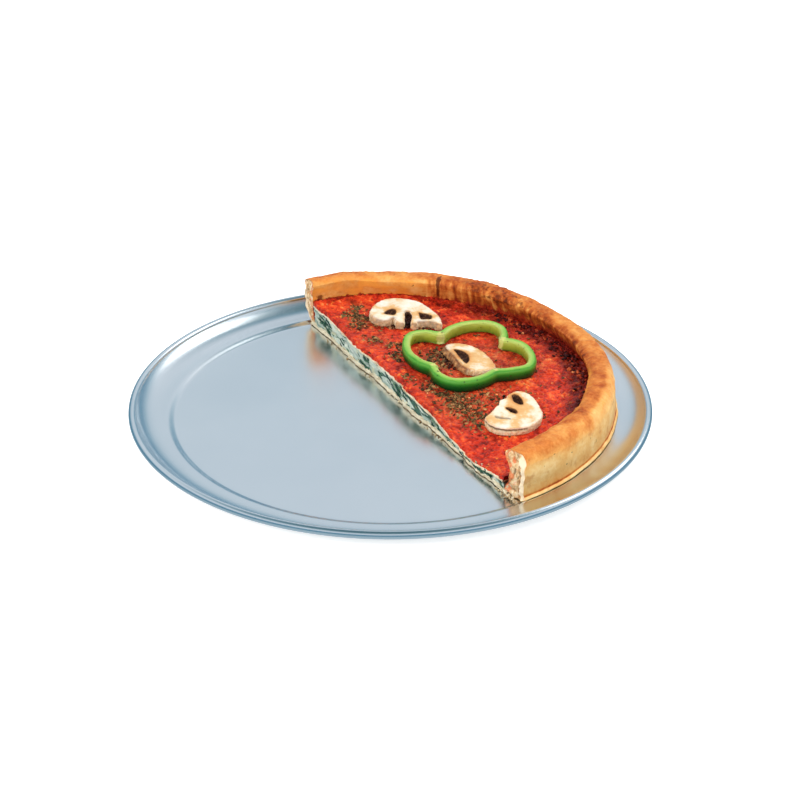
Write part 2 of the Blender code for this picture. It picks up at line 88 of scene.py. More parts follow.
# Mushroom slices: name, middle x and y, turn in degrees, thickness, and in millimetres on the
# slice's own axes the outline and the openings at the gills
MUSHROOMS = (
    ("mushroom_1", -0.0905, 0.0640, 41.0, 0.0050,
     ((-25, -16.5), (-21, -21.5), (-15, -24), (-9.6, -23.6), (-7.5, -20.5), (-6.3, -18), (-4, -19),
      (-1.7, -22.5), (1.2, -22.5), (3.3, -21), (1, -13), (-1.5, -7), (-1.2, -3.2), (0.8, -2.5),
      (4, -6.5), (6.3, -12.2), (8, -18.5), (9.4, -19.5), (12, -18.6), (12.6, -15.5), (16.4, -13.4),
      (20.3, -12.1), (24, -12.4), (28, -14.2), (29, -11), (25.7, -4.5), (21.3, 1.2), (16, 6.2),
      (8.7, 12), (0, 16), (-7.2, 16.9), (-14.7, 15.6), (-21.9, 11.5), (-25.6, 5), (-26.7, -3.5)),
     (((-15, -14), (-14.5, -9), (-12, -5.2), (-9.4, -5.2), (-7, -9.5), (-6.8, -13.5), (-8.5, -15),
       (-12.2, -15.6)),
      ((7.6, -1.2), (10.3, -0.7), (14.1, -0.6), (18, -2.2), (19.4, -5.4), (19, -8.3), (16.5, -9.8),
       (13.4, -11), (10.5, -7.5)))),
    ("mushroom_2", -0.0010, 0.0625, -10.0, 0.0050,
     ((-24.9, -9.2), (-27.7, -4.2), (-27.9, 0.8), (-26, 5.6), (-21.5, 10.2), (-13.8, 14.1),
      (-4.4, 15.6), (5.2, 15.7), (12.8, 14.7), (15.8, 11.3), (15.9, 5.5), (14.6, -0.5), (10.6, -5.2),
      (4.4, -7.4), (-3.6, -8.2), (-11.6, -8.6), (-18.2, -9.4)),
     (((-18.2, -4.9), (-17.7, -2), (-14.5, 0.6), (-8.2, 2.1), (-1.5, 0.9), (3.3, -2.6), (2.4, -3.9),
       (-3.1, -4.7), (-11.1, -5)),)),
    ("mushroom_3", 0.0710, 0.0585, -46.0, 0.0056,
     ((-17.8, -9.1), (-21.4, -5.1), (-20.8, 0.5), (-16.9, 6), (-11.1, 10.5), (-5.1, 14.1),
      (-0.7, 16.5), (5.6, 17.1), (11.9, 15.3), (17, 11.8), (20.8, 6), (22.7, -0.2), (23.1, -6.9),
      (21.4, -12.6), (18.1, -16.4), (14.8, -18.6), (11.8, -18.2), (5.4, -16.3), (0.4, -15),
      (-2.2, -13.8), (-6.5, -14.3), (-8.3, -13.1), (-10.5, -10.8), (-14, -11)),
     (((-14.4, -8), (-16.4, -6), (-14.6, -2.9), (-9.7, 0.7), (-6.1, 1.6), (-5.8, -1.3), (-8.3, -5.5)),
      ((0.1, -8.5), (-0.7, -5.7), (0.5, -1.6), (2.5, 0.3), (4.7, -0.1), (4.5, -2.8), (2.4, -6.8)))),
)

# The slit on the third slice, as above
SLIT = ((10.6, -12.6), (10.7, -8), (10.6, -2.7), (11.9, -2.5), (12.8, -7.4), (12.7, -11.2))

# Spacing of the slices' grids in millimetres, and rows down their flanks
SLICE_GRID = 0.36
FLANK_ROWS = 8

# For each slice, on its own axes, the way its side turned from the key lamp faces, how much painted
# shade in dark browns that side gets, how deep the crease under its edge is, which also gets
# painted shade, and how pale its top is
SIDE_SHADE_AND_PALE_TOP = {"mushroom_1": (0.35, -0.94, 0.75, 0.0, 0.40),
            "mushroom_2": (-0.35, -0.94, 1.0, 0.0, 0.0),
            "mushroom_3": (0.98, -0.15, 0.0, 1.0, 0.10)}

# Crumbs of stem: which slice, and on its own axes in millimetres the middle and the spread, number;
# the first group fills the gap in the first slice's stem with dark crumbs, partly stem crumbs and
# partly painted shade of the gap
STEM_CRUMBS = ((0, (3.5, -11.5), (1.6, 4.2), 150), (0, (-6.0, -22.0), (1.8, 2.0), 26),
               (0, (15.0, -17.0), (4.0, 1.6), 40), (1, (-22.0, -12.5), (4.0, 2.0), 70),
               (1, (-8.0, -12.0), (5.0, 1.4), 30), (2, (-15.0, -13.5), (3.0, 1.6), 18))

# Browned patches of the sauce: middle x and y, spread, share
BROWNED = ((0.038, 0.031, 0.021, 0.9), (0.012, 0.026, 0.014, 0.6), (-0.018, 0.050, 0.020, 0.85),
           (-0.030, 0.066, 0.013, 0.8), (0.040, 0.054, 0.014, 0.6), (-0.096, 0.028, 0.014, 0.75),
           (0.005, 0.080, 0.026, 0.5), (-0.122, 0.036, 0.010, 0.5), (-0.068, 0.024, 0.014, 0.45),
           (0.062, 0.040, 0.012, 0.5), (0.000, 0.070, 0.040, 0.66))

# Lamps: name, place, size, power, whether polished metal shows it
LAMPS = (("back", (0.25, 1.15, 1.45), 1.2, 21.0, False),
         ("panel", (-0.10, 1.32, 1.25), 0.95, 5.5, True),
         ("side", (1.60, -0.15, 1.10), 1.2, 12.0, False),
         ("front", (0.20, -1.40, 0.90), 1.2, 24.0, False))

# The camera: degrees up, round from the front and rolled, metres from the middle, lens and sensor
# in millimetres, and where the middle falls in a picture 800 wide
ELEVATION, AZIMUTH, ROLL = 28.403, 62.2, -0.145
DISTANCE = 1.2375
LENS, SENSOR = 81.0, 36.0
MIDDLE_SEEN = (390.4, 410.54)
PICTURE = 800.0

# Details of the looks, in metres and degrees
CRACK_ANGLE = 139.5
BURNT_SPOT = (-0.1420, 0.0160, 0.0235)
CUT_STEPS = ((-0.1290, 0.0012), (-0.0850, -0.0016), (-0.0560, 0.0010), (-0.0010, -0.0018),
             (0.0300, 0.0010), (0.0835, -0.0014), (0.1080, 0.0012))

# Herb flakes: middle x and y, spreads along x and y, number
HERBS = (
    (-0.1180, 0.0340, 0.0030, 0.0030, 60), (-0.1120, 0.0230, 0.0030, 0.0025, 40),
    (-0.1040, 0.0290, 0.0040, 0.0030, 90), (-0.0950, 0.0230, 0.0040, 0.0030, 60),
    (-0.0930, 0.0350, 0.0050, 0.0030, 40), (-0.0710, 0.0230, 0.0040, 0.0030, 40),
    (-0.0550, 0.0320, 0.0040, 0.0030, 40), (-0.0400, 0.0270, 0.0050, 0.0040, 60),
    (-0.0040, 0.0160, 0.0040, 0.0030, 30), (0.0120, 0.0270, 0.0070, 0.0040, 90),
    (0.0380, 0.0310, 0.0100, 0.0060, 300), (0.0300, 0.0390, 0.0040, 0.0030, 60),
    (0.0590, 0.0360, 0.0070, 0.0050, 110), (0.0400, 0.0560, 0.0090, 0.0080, 90),
    (-0.0190, 0.0470, 0.0080, 0.0040, 110), (-0.0300, 0.0600, 0.0040, 0.0060, 110),
    (-0.1180, 0.0700, 0.0100, 0.0120, 25), (0.0150, 0.0850, 0.0200, 0.0150, 40),
    (0.0000, 0.0600, 0.0900, 0.0450, 190),
)


# Numbers

def ease(value):
    """Rise from 0 to 1 with level ends: 3 t squared - 2 t cubed."""
    value = np.clip(value, 0.0, 1.0)
    return value*value*(3.0 - 2.0*value)


def within(value, start, rise, end, fall):
    """Ease from 0 at the start up to 1, and down to 0 at the end, over the rise and the fall."""
    return ease((value - start)/rise)*ease((end - value)/fall)


def along(table, at):
    """Read a table of (place, value) pairs with an eased step from each pair to the next."""
    places, values = np.array(table, float).T
    at = np.clip(at, places[0], places[-1])
    k = np.clip(np.searchsorted(places, at, side="right") - 1, 0, len(places) - 2)
    return values[k] + (values[k + 1] - values[k])*ease((at - places[k])/(places[k + 1] - places[k]))


def cell_number(cells, seed):
    """A repeatable number from 0 to 1 for each lattice cell, mixed from its whole-number place."""
    primes = np.array((374761393, 668265263, 2246822519))[:cells.shape[-1]]
    mixed = (cells*primes).sum(-1) + seed*974634777
    mixed = (mixed ^ (mixed >> 13))*1274126177
    return ((mixed ^ (mixed >> 16)) & 0xFFFFFF)/float(0x1000000)


def noise(points, pitch, seed=0, octaves=3, gain=0.5):
    """Rolling relief, about -1 to 1: each corner of a lattice of the pitch holds a random slope, and
    the slopes' planes are blended by an eased share. Each octave halves the pitch."""
    total = 0.0
    for octave in range(octaves):
        place = points*(2.0**octave/pitch) + 31.7*octave
        cell = np.floor(place).astype(np.int64)
        share = place - cell
        blend = share**3*(share*(6.0*share - 15.0) + 10.0)
        value = 0.0
        for corner in np.ndindex(2, 2, 2):
            weight = np.where(corner, blend, 1.0 - blend).prod(-1)
            lean = 0.0
            for axis in range(3):
                slope = 2.0*cell_number(cell + corner, seed + 7*axis + 31*octave) - 1.0
                lean = lean + slope*(share[..., axis] - corner[axis])
            value = value + weight*lean
        total = total + value*gain**octave*1.7
    return total


def spot(*parts):
    """Coordinates of shapes that fit each other, plain numbers too, as one array of points."""
    return np.stack(np.broadcast_arrays(*parts), axis=-1)


def turned(x, y, degrees):
    """Places turned about the origin: x cos - y sin and x sin + y cos."""
    cosine, sine = math.cos(math.radians(degrees)), math.sin(math.radians(degrees))
    return x*cosine - y*sine, x*sine + y*cosine


def lumps(x, y, pitch, seed):
    """Relief from 0 to 1 of domes strewn one to a square of the pitch, each 1 - (distance / reach)
    squared at its own place, size and height, the highest counting, and that dome's own number."""
    cell = np.floor(spot(x, y)/pitch).astype(np.int64)
    best = np.zeros(np.shape(x))
    tone = np.zeros(np.shape(x))
    for step in np.ndindex(3, 3):
        near = cell + step - 1
        away_x = x/pitch - near[..., 0] - 0.15 - 0.7*cell_number(near, seed)
        away_y = y/pitch - near[..., 1] - 0.15 - 0.7*cell_number(near, seed + 1)
        turn = 6.3*cell_number(near, seed + 2)
        long = away_x*np.cos(turn) + away_y*np.sin(turn)
        wide = away_y*np.cos(turn) - away_x*np.sin(turn)
        reach = 0.50 + 0.40*cell_number(near, seed + 3)
        dome = np.clip(1.0 - (long*long + 2.2*wide*wide)/reach**2, 0.0, 1.0)
        dome = dome**0.7*(0.35 + 0.65*cell_number(near, seed + 4))
        tone = np.where(dome > best, cell_number(near, seed + 5), tone)
        best = np.maximum(best, dome)
    return best, tone


def tint(*display):
    """A colour given in display bytes as the opaque linear colour that shaders take."""
    linear = [((c/255 + 0.055)/1.055)**2.4 if c > 10 else c/3294.6 for c in display]
    return (*linear, 1.0)


# Meshes

def grid(number):
    """Quads between neighbouring rows and columns of a table of point numbers."""
    corners = (number[:-1, :-1], number[1:, :-1], number[1:, 1:], number[:-1, 1:])
    return np.stack(corners, axis=-1).reshape(-1, 4)


def enclosed(points, faces):
    """Six times the volume inside a closed shell: the sum of each fan triangle's triple product."""
    total = 0.0
    for group in faces:
        for k in range(1, group.shape[1] - 1):
            a, b, c = points[group[:, 0]], points[group[:, k]], points[group[:, k + 1]]
            total += float((a*np.cross(b, c)).sum())
    return total


def put_in_scene(name, data):
    """A new object of a mesh, a lamp or a lens, in the scene."""
    item = bpy.data.objects.new(name, data)
    bpy.context.scene.collection.objects.link(item)
    return item


def add_piece(name, points, faces, material, slot, stands_for=(), **numbers):
    """A piece of the points and faces, faces turned outwards, with numbers kept for its material."""
    if enclosed(points, faces) < 0.0:
        faces = [group[:, ::-1] for group in faces]
    mesh = bpy.data.meshes.new(name)
    mesh.from_pydata(points.tolist(), [], [face for group in faces for face in group.tolist()])
    for label, values in numbers.items():
        kept = mesh.attributes.new(label, "FLOAT", "POINT")
        kept.data.foreach_set("value", np.asarray(values, np.float32).ravel())
    mesh.materials.append(material)
    mesh.shade_smooth()
    mesh.update()
    piece = put_in_scene(name, mesh)
    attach(piece, "root")
    if stands_for:
        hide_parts(*stands_for)


def bar(shape, us, vs, ws, low_vs=None):
    """A closed bar: the edge of the unit square in v and w is carried along u, and shape(u, v, w)
    places each point. The ends are grids, or single faces where the lower side has its own vs."""
    low = vs if low_vs is None else low_vs
    rise, over, fall, back = ws, vs[1:], ws[::-1][1:], low[::-1][1:-1]
    v = np.concatenate((0.0*rise, over, 0.0*fall + 1.0, back))
    w = np.concatenate((rise, 0.0*over + 1.0, fall, 0.0*back))
    count = len(v)
    u, v, w = (part.ravel() for part in np.broadcast_arrays(us[:, None], v[None, :], w[None, :]))
    number = np.arange(len(us)*count).reshape(len(us), count)
    faces = [grid(np.concatenate((number, number[:, :1]), axis=1))]
    if low_vs is not None:
        faces += [number[:1, ::-1], number[-1:]]
        return shape(u, v, w), faces, u, v, w
    rows, columns = len(ws), len(vs)
    for row, side in ((0, us[0]), (-1, us[-1])):
        table = np.empty((rows, columns), int)
        table[:, 0] = number[row, :rows]
        table[-1, 1:] = number[row, rows:rows + columns - 1]
        table[::-1, -1][1:] = number[row, rows + columns - 1:2*rows + columns - 2]
        table[0, ::-1][1:-1] = number[row, 2*rows + columns - 2:]
        inner = (rows - 2, columns - 2)
        table[1:-1, 1:-1] = len(u) + np.arange(inner[0]*inner[1]).reshape(inner)
        end_w, end_v = (part.ravel() for part in np.meshgrid(ws[1:-1], vs[1:-1], indexing="ij"))
        u = np.concatenate((u, np.full(len(end_v), side)))
        v = np.concatenate((v, end_v))
        w = np.concatenate((w, end_w))
        faces.append(grid(table if row else table[:, ::-1]))
    return shape(u, v, w), faces, u, v, w


def closed_line(points, steps):
    """A smooth closed line through the points: a cubic between each two, whose slope at a point runs
    from the point before to the point after."""
    points = np.array(points, float)
    slope = 0.5*(np.roll(points, -1, axis=0) - np.roll(points, 1, axis=0))
    after = np.roll(points, -1, axis=0)
    t = (np.arange(steps)/steps)[None, :, None]
    start, end = points[:, None], after[:, None]
    lead, trail = slope[:, None], np.roll(slope, -1, axis=0)[:, None]
    line = (start*(1 - t)**2*(1 + 2*t) + end*t*t*(3 - 2*t) + lead*t*(1 - t)**2 + trail*t*t*(t - 1))
    return line.reshape(-1, 2)


def depth_in(x, y, line):
    """Distance of places from a closed line, positive inside it: the least distance to its straight
    pieces, and inside where a ray crosses the line an odd number of times."""
    ax, ay = line.T
    bx, by = np.roll(line, -1, axis=0).T
    px, py = x.reshape(-1, 1), y.reshape(-1, 1)
    dx, dy = bx - ax, by - ay
    t = np.clip(((px - ax)*dx + (py - ay)*dy)/(dx*dx + dy*dy), 0.0, 1.0)
    far = np.hypot(px - ax - t*dx, py - ay - t*dy).min(axis=1)
    spans = (ay > py) != (by > py)
    level = np.where(dy == 0.0, 1.0, dy)
    crossed = spans & (px < ax + (py - ay)*dx/level)
    inside = crossed.sum(axis=1) % 2 == 1
    return np.where(inside, far, -far).reshape(x.shape)


def strew(name, places, sizes, material, slot, seed, bend=0.0, turns=None, **numbers):
    """Many small bits as one piece: each is a twenty-sided ball of its own sizes along three axes,
    with every corner moved a little, bent, turned and set at its place."""
    draw = np.random.default_rng(seed)
    gold = 0.5*(1.0 + math.sqrt(5.0))
    ball = np.array([(s*1.0, t*gold, 0.0) for s in (-1, 1) for t in (-1, 1)])
    ball = np.concatenate((ball, np.roll(ball, 1, axis=1), np.roll(ball, 2, axis=1)))
    ball = ball/np.linalg.norm(ball[0])
    near = np.linalg.norm(ball[:, None] - ball[None], axis=-1) < 1.2
    trios = [(i, j, k) for i in range(12) for j in range(i) for k in range(j)
             if near[i, j] and near[j, k] and near[i, k]]
    trios = np.array([t if np.dot(np.cross(ball[t[0]], ball[t[1]]), ball[t[2]]) > 0 else t[::-1]
                      for t in trios])
    count = len(places)
    made = ball[None]*(1.0 + draw.uniform(-0.28, 0.28, (count, 12, 1)))*sizes[:, None, :]
    made[..., 2] += bend*(made[..., 0]**2 - 0.4*sizes[:, None, 0]**2)/sizes[:, None, 0]
    if turns is None:
        turns = spot(draw.normal(0.0, 0.35, count), draw.normal(0.0, 0.35, count),
                     draw.uniform(0.0, 6.3, count))
    for axis in range(3):
        first, second = (axis + 1) % 3, (axis + 2) % 3
        cosine, sine = np.cos(turns[:, axis, None]), np.sin(turns[:, axis, None])
        a, b = made[..., first].copy(), made[..., second].copy()
        made[..., first] = a*cosine - b*sine
        made[..., second] = a*sine + b*cosine
    points = (made + places[:, None]).reshape(-1, 3)
    faces = (trios[None] + 12*np.arange(count)[:, None, None]).reshape(-1, 3)
    numbers = {label: np.repeat(values, 12) for label, values in numbers.items()}
    add_piece(name, points, [faces], material, slot, **numbers)


# Materials

class Wire:
    """A socket of a material's nodes. Sums and products of wires add the nodes that work them out."""

    def __init__(self, tree, socket=None):
        self.tree = tree
        self.socket = socket

    def node(self, kind, settings=None, inputs=None, out=0):
        """A new node of a kind: its settings or a ramp's stops first, then its sockets."""
        made = self.tree.nodes.new("ShaderNode" + kind)
        for label, value in (settings or {}).items():
            if label != "stops":
                setattr(made, label, value)
                continue
            elements = made.color_ramp.elements
            for stop in value[1:-1]:
                elements.new(stop[0])
            for element, stop in zip(elements, value):
                element.position = stop[0]
                element.color = tint(*stop[1:])
        for label, value in (inputs or {}).items():
            if isinstance(value, Wire):
                self.tree.links.new(value.socket, made.inputs[label])
            else:
                made.inputs[label].default_value = value
        return Wire(self.tree, made.outputs[out])

    def math(self, operation, *values):
        """A sum, product or other operation of Math on this wire and other values."""
        return self.node("Math", {"operation": operation}, dict(enumerate(values)))

    def __add__(self, other):
        return self.math("ADD", self, other)

    def __sub__(self, other):
        return self.math("SUBTRACT", self, other)

    def __rsub__(self, other):
        return self.math("SUBTRACT", other, self)

    def __mul__(self, other):
        return self.math("MULTIPLY", self, other)

    __radd__ = __add__
    __rmul__ = __mul__

    def part(self, axis):
        """One coordinate of a vector."""
        return self.node("SeparateXYZ", None, {0: self}, out=axis)

    def scaled(self, *factors):
        """A vector times factors for its three axes."""
        return self.node("VectorMath", {"operation": "MULTIPLY"}, {0: self, 1: factors})

    def cloud(self, pitch, detail=3.0, seed=0.0, rough=0.5):
        """Even noise from 0 to 1 whose largest blots are about the pitch across."""
        sockets = {"Vector": self, "W": seed, "Scale": 1.0/pitch, "Detail": detail, "Roughness": rough}
        return self.node("TexNoise", {"noise_dimensions": "4D"}, sockets)

    def step(self, low, high):
        """0 at low, 1 at high, with an eased rise between."""
        sockets = {"Value": self, "From Min": low, "From Max": high}
        return self.node("MapRange", {"interpolation_type": "SMOOTHSTEP"}, sockets)

    def ramp(self, *stops):
        """Colours along the value from 0 to 1, given as (place, red, green, blue) in display bytes."""
        return self.node("ValToRGB", {"stops": stops}, {"Fac": self})

    def over(self, colour, share):
        """This colour laid over another one by a share."""
        sockets = {0: share, 6: colour, 7: self}
        return self.node("Mix", {"data_type": "RGBA"}, sockets, out=2)

    def under(self, colour, share):
        """A plain colour, given in display bytes, laid over this one by a share."""
        return self.node("Mix", {"data_type": "RGBA"}, {0: share, 6: self, 7: tint(*colour)}, out=2)

    def kept(self, label):
        """A number kept with the mesh's points."""
        return self.node("Attribute", {"attribute_name": label}, out="Fac")


def start(name):
    """A new material and the wire of its object's own coordinates."""
    material = bpy.data.materials.new(name)
    material.use_nodes = True
    tree = material.node_tree
    return material, Wire(tree).node("TexCoord", out="Object")


def dress(material, **sockets):
    """Set the Principled shader's sockets from wires or plain values; '_' stands for a space."""
    tree = material.node_tree
    shader = tree.nodes["Principled BSDF"]
    for label, value in sockets.items():
        socket = shader.inputs[label.replace("_", " ")]
        if isinstance(value, Wire):
            tree.links.new(value.socket, socket)
        else:
            socket.default_value = value
    return material


def relief(height, depth, strength=1.0):
    """A normal from a height of 0 to 1 that stands for the given depth in metres."""
    return height.node("Bump", None, {"Height": height, "Distance": depth, "Strength": strength},
                       out="Normal")


def tray_metal():
    """Satin aluminium: faint rings from spinning, soft smudges in its gloss."""
    material, place = start("satin aluminium")
    x, y = place.part(0), place.part(1)
    radius = x.math("SQRT", x*x + y*y)
    flat = place.node("CombineXYZ", None, {0: radius, 1: 0.0, 2: 0.0})
    rings = flat.cloud(0.0011, 2.0, 1.0)
    smudge = place.cloud(0.060, 4.0, 2.0)
    colour = (smudge*0.7 + rings*0.3).ramp((0.25, 226, 233, 238), (0.75, 240, 244, 247))
    rough = 0.19 + smudge*0.07 + rings*0.05
    return dress(material, Base_Color=colour, Roughness=rough, Metallic=1.0,
                 Normal=relief(rings, 0.00001, 0.3))


def baked_crust():
    """Baked dough: pale gold low down to orange brown on the crest, specks, blisters and smears."""
    material, place = start("baked crust")
    bake = place.kept("bake")
    arc = place.kept("arc")
    wall = place.kept("wall")
    blots = place.cloud(0.013, 4.0, 1.0, 0.58)
    grain = place.cloud(0.0022, 3.0, 2.0, 0.6)
    level, deep = place.part(2), place.kept("across")*0.02
    round_it = place.node("CombineXYZ", None, {0: arc*0.16, 1: level, 2: deep})
    bands = round_it.cloud(0.0040, 3.0, 3.0, 0.6)
    up_it = place.node("CombineXYZ", None, {0: arc, 1: level*0.20, 2: 0.0})
    streaks = up_it.cloud(0.0052, 3.0, 6.0, 0.6)
    tone = bake + (blots - 0.5)*(0.85 + wall*0.15) + (grain - 0.5)*0.36
    tone = tone + wall*((bands - 0.5)*0.5 + (streaks - 0.5)*place.kept("folded")*1.3)
    colour = tone.ramp((0.00, 242, 208, 148), (0.22, 232, 182, 112),
                       (0.43, 222, 154, 80), (0.60, 204, 120, 54),
                       (0.78, 166, 76, 28), (1.00, 104, 42, 16))
    stained = place.cloud(0.0075, 4.0, 21.0, 0.65).step(0.53, 0.68)*(1.0 - wall)
    colour = colour.under((196, 124, 60), stained*0.55)
    golden = (bands*0.5 + blots*0.5).step(0.42, 0.58)*wall*(1.0 - place.kept("folded"))
    colour = colour.under((240, 160, 66), golden*0.75)
    specks = place.cloud(0.0042, 2.0, 5.0).step(0.705, 0.76)
    colour = colour.under((92, 50, 24), specks*0.75)
    drip = place.kept("drip")
    smear = (drip + (streaks - 0.5)*1.4*drip.step(0.02, 0.3)).step(0.40, 0.66)
    red = grain.ramp((0.3, 92, 22, 14), (0.5, 150, 44, 24), (0.75, 196, 78, 40))
    colour = red.over(colour, smear)
    # The char number also carries the painted shade in the rim's crack
    char = (place.kept("char") + (place.cloud(0.0035, 3.0, 9.0) - 0.5)*1.3).step(0.50, 0.72)
    colour = colour.under((78, 28, 12), char*0.80)
    cut = place.kept("cut")
    colour = crumb_colour(place).over(colour, cut)
    rough = 0.42 + grain*0.25 + cut*0.25
    height = blots*0.3 + grain*0.5 + place.cloud(0.0008, 2.0, 4.0)*0.25
    return dress(material, Base_Color=colour, Roughness=rough, Normal=relief(height, 0.0007, 0.7),
                 Specular_IOR_Level=0.2)


def crumb_colour(place):
    """Torn dough at the rim's ends: a smooth cream skin outside, beige crumb with warm streaks along
    its layers, grey-brown painted shade in each pore hole and brown painted shade along the seam
    groove, and sauce soaked into the inner side."""
    across = place.kept("across")
    blobs = place.scaled(1.8, 1.0, 0.7).cloud(0.0032, 4.0, 11.0, 0.64)
    colour = blobs.ramp((0.32, 140, 100, 66), (0.44, 204, 160, 114),
                        (0.54, 226, 194, 150), (0.68, 240, 222, 192))
    # Painted shade: grey-brown pore holes in the crumb
    pore_shade = place.scaled(1.2, 1.0, 0.6).cloud(0.0030, 2.0, 13.0).step(0.58, 0.65)
    colour = colour.under((116, 92, 64), pore_shade*0.7)
    soaked = (place.cloud(0.0036, 2.0, 17.0) - across*0.45).step(0.33, 0.45)
    colour = colour.under((224, 104, 54), soaked*0.65)
    # Painted shade: the seam groove of the torn end is painted brown
    groove = across.step(0.62, 0.68)*(1.0 - across.step(0.70, 0.76))
    colour = colour.under((170, 112, 66), groove*0.55)
    skin = (across + (blobs - 0.5)*0.10).step(0.74, 0.80)
    return colour.under((250, 228, 196), skin*0.85)


def bottom_crust():
    """The pale bottom crust at the cut, browned along its underside."""
    material, place = start("bottom crust")
    height = place.part(2)
    wander = place.cloud(0.004, 3.0, 3.0)*0.0012
    browned = 1.0 - (height - wander).step(0.0006, 0.0014)
    streaks = place.scaled(0.35, 1.0, 1.6).cloud(0.0018, 4.0, 5.0, 0.6)
    colour = streaks.ramp((0.25, 150, 126, 96), (0.42, 206, 188, 154),
                          (0.58, 232, 220, 192), (0.80, 246, 240, 222))
    colour = colour.under((128, 88, 54), browned*0.85)
    return dress(material, Base_Color=colour, Roughness=0.70, Normal=relief(streaks, 0.0005, 0.6),
                 Specular_IOR_Level=0.25)


def cheese_and_leaf():
    """Cheese with leaf: pale grey-green curd in flat streaks between dark green ones."""
    material, place = start("cheese and leaf")
    slanted = place.node("VectorRotate", {"rotation_type": "Y_AXIS"}, {"Vector": place, "Angle": -0.24},
                         out="Vector")
    flat = slanted.scaled(0.11, 0.6, 1.0)
    curd = flat.cloud(0.0026, 3.0, 1.0, 0.55)
    colour = curd.ramp((0.26, 108, 128, 112), (0.42, 160, 174, 162),
                       (0.58, 194, 202, 188), (0.78, 236, 232, 214))
    leaf = flat.cloud(0.0034, 2.0, 6.0, 0.5) + (place.cloud(0.018, 2.0, 8.0) - 0.5)*0.55
    dark = leaf.step(0.570, 0.615)
    green = place.cloud(0.003, 3.0, 9.0).ramp((0.3, 20, 48, 40), (0.6, 52, 96, 80),
                                              (0.85, 104, 140, 110))
    colour = green.over(colour, dark*0.92)
    yellowed = place.cloud(0.007, 2.0, 15.0).step(0.60, 0.68)
    colour = colour.under((214, 196, 140), yellowed*0.45)
    height = curd*0.6 + leaf*0.4
    return dress(material, Base_Color=colour, Roughness=0.42, Normal=relief(height, 0.0006, 0.7),
                 Specular_IOR_Level=0.3, Subsurface_Weight=0.15, Subsurface_Radius=(0.6, 0.8, 0.6),
                 Subsurface_Scale=0.0015)


def soft_dough():
    """The thin pale sheet of dough over the filling."""
    material, place = start("soft dough")
    flow = place.scaled(0.4, 1.0, 1.0).cloud(0.0030, 3.0, 1.0)
    colour = flow.ramp((0.25, 196, 160, 122), (0.45, 226, 206, 172),
                       (0.70, 246, 234, 210))
    stained = place.cloud(0.009, 3.0, 4.0).step(0.60, 0.70)
    colour = colour.under((206, 96, 58), stained*0.55)
    return dress(material, Base_Color=colour, Roughness=0.50, Normal=relief(flow, 0.0004, 0.5),
                 Specular_IOR_Level=0.25)


def tomato_sauce():
    """Chunky tomato sauce: bright red and orange lumps with painted shade between them, darker by the
    rim.
    """
    material, place = start("tomato sauce")
    tone = place.kept("tone")
    height = place.kept("height")
    fine = place.cloud(0.0048, 4.0, 1.0, 0.60)
    broad = place.cloud(0.014, 3.0, 2.0)
    grit = place.cloud(0.0013, 2.0, 3.0, 0.6)
    mixed = 0.49 + (fine - 0.5)*1.25 + (grit - 0.5)*0.18 + (tone - 0.5)*0.10
    # Painted shade: the lumps' height lightens their tops and darkens the hollows between them
    mixed = mixed + (height - 0.45)*0.30 + (broad - 0.5)*0.70
    colour = mixed.ramp((0.12, 92, 16, 10), (0.30, 146, 30, 16), (0.46, 188, 44, 22),
                        (0.62, 212, 66, 32), (0.78, 230, 104, 50), (0.94, 242, 160, 100))
    orange = place.cloud(0.0046, 2.0, 12.0).step(0.645, 0.70)
    colour = colour.under((236, 132, 52), orange*0.75)
    browned = place.kept("brown")
    brown = (grit*0.5 + fine*0.5).ramp((0.34, 84, 34, 16), (0.50, 148, 62, 32),
                                       (0.66, 198, 110, 62))
    colour = brown.over(colour, browned)
    burnt = place.kept("burnt")
    dark = grit.ramp((0.30, 34, 6, 6), (0.50, 92, 16, 12), (0.75, 150, 40, 24))
    colour = dark.over(colour, burnt)
    specks = place.cloud(0.0030, 2.0, 14.0).step(0.68, 0.73)
    colour = colour.under((72, 34, 16), specks*0.65)
    rough = 0.22 + grit*0.30
    grain = fine*0.6 + grit*0.4
    return dress(material, Base_Color=colour, Roughness=rough, Normal=relief(grain, 0.0008, 0.65),
                 Specular_IOR_Level=0.26)


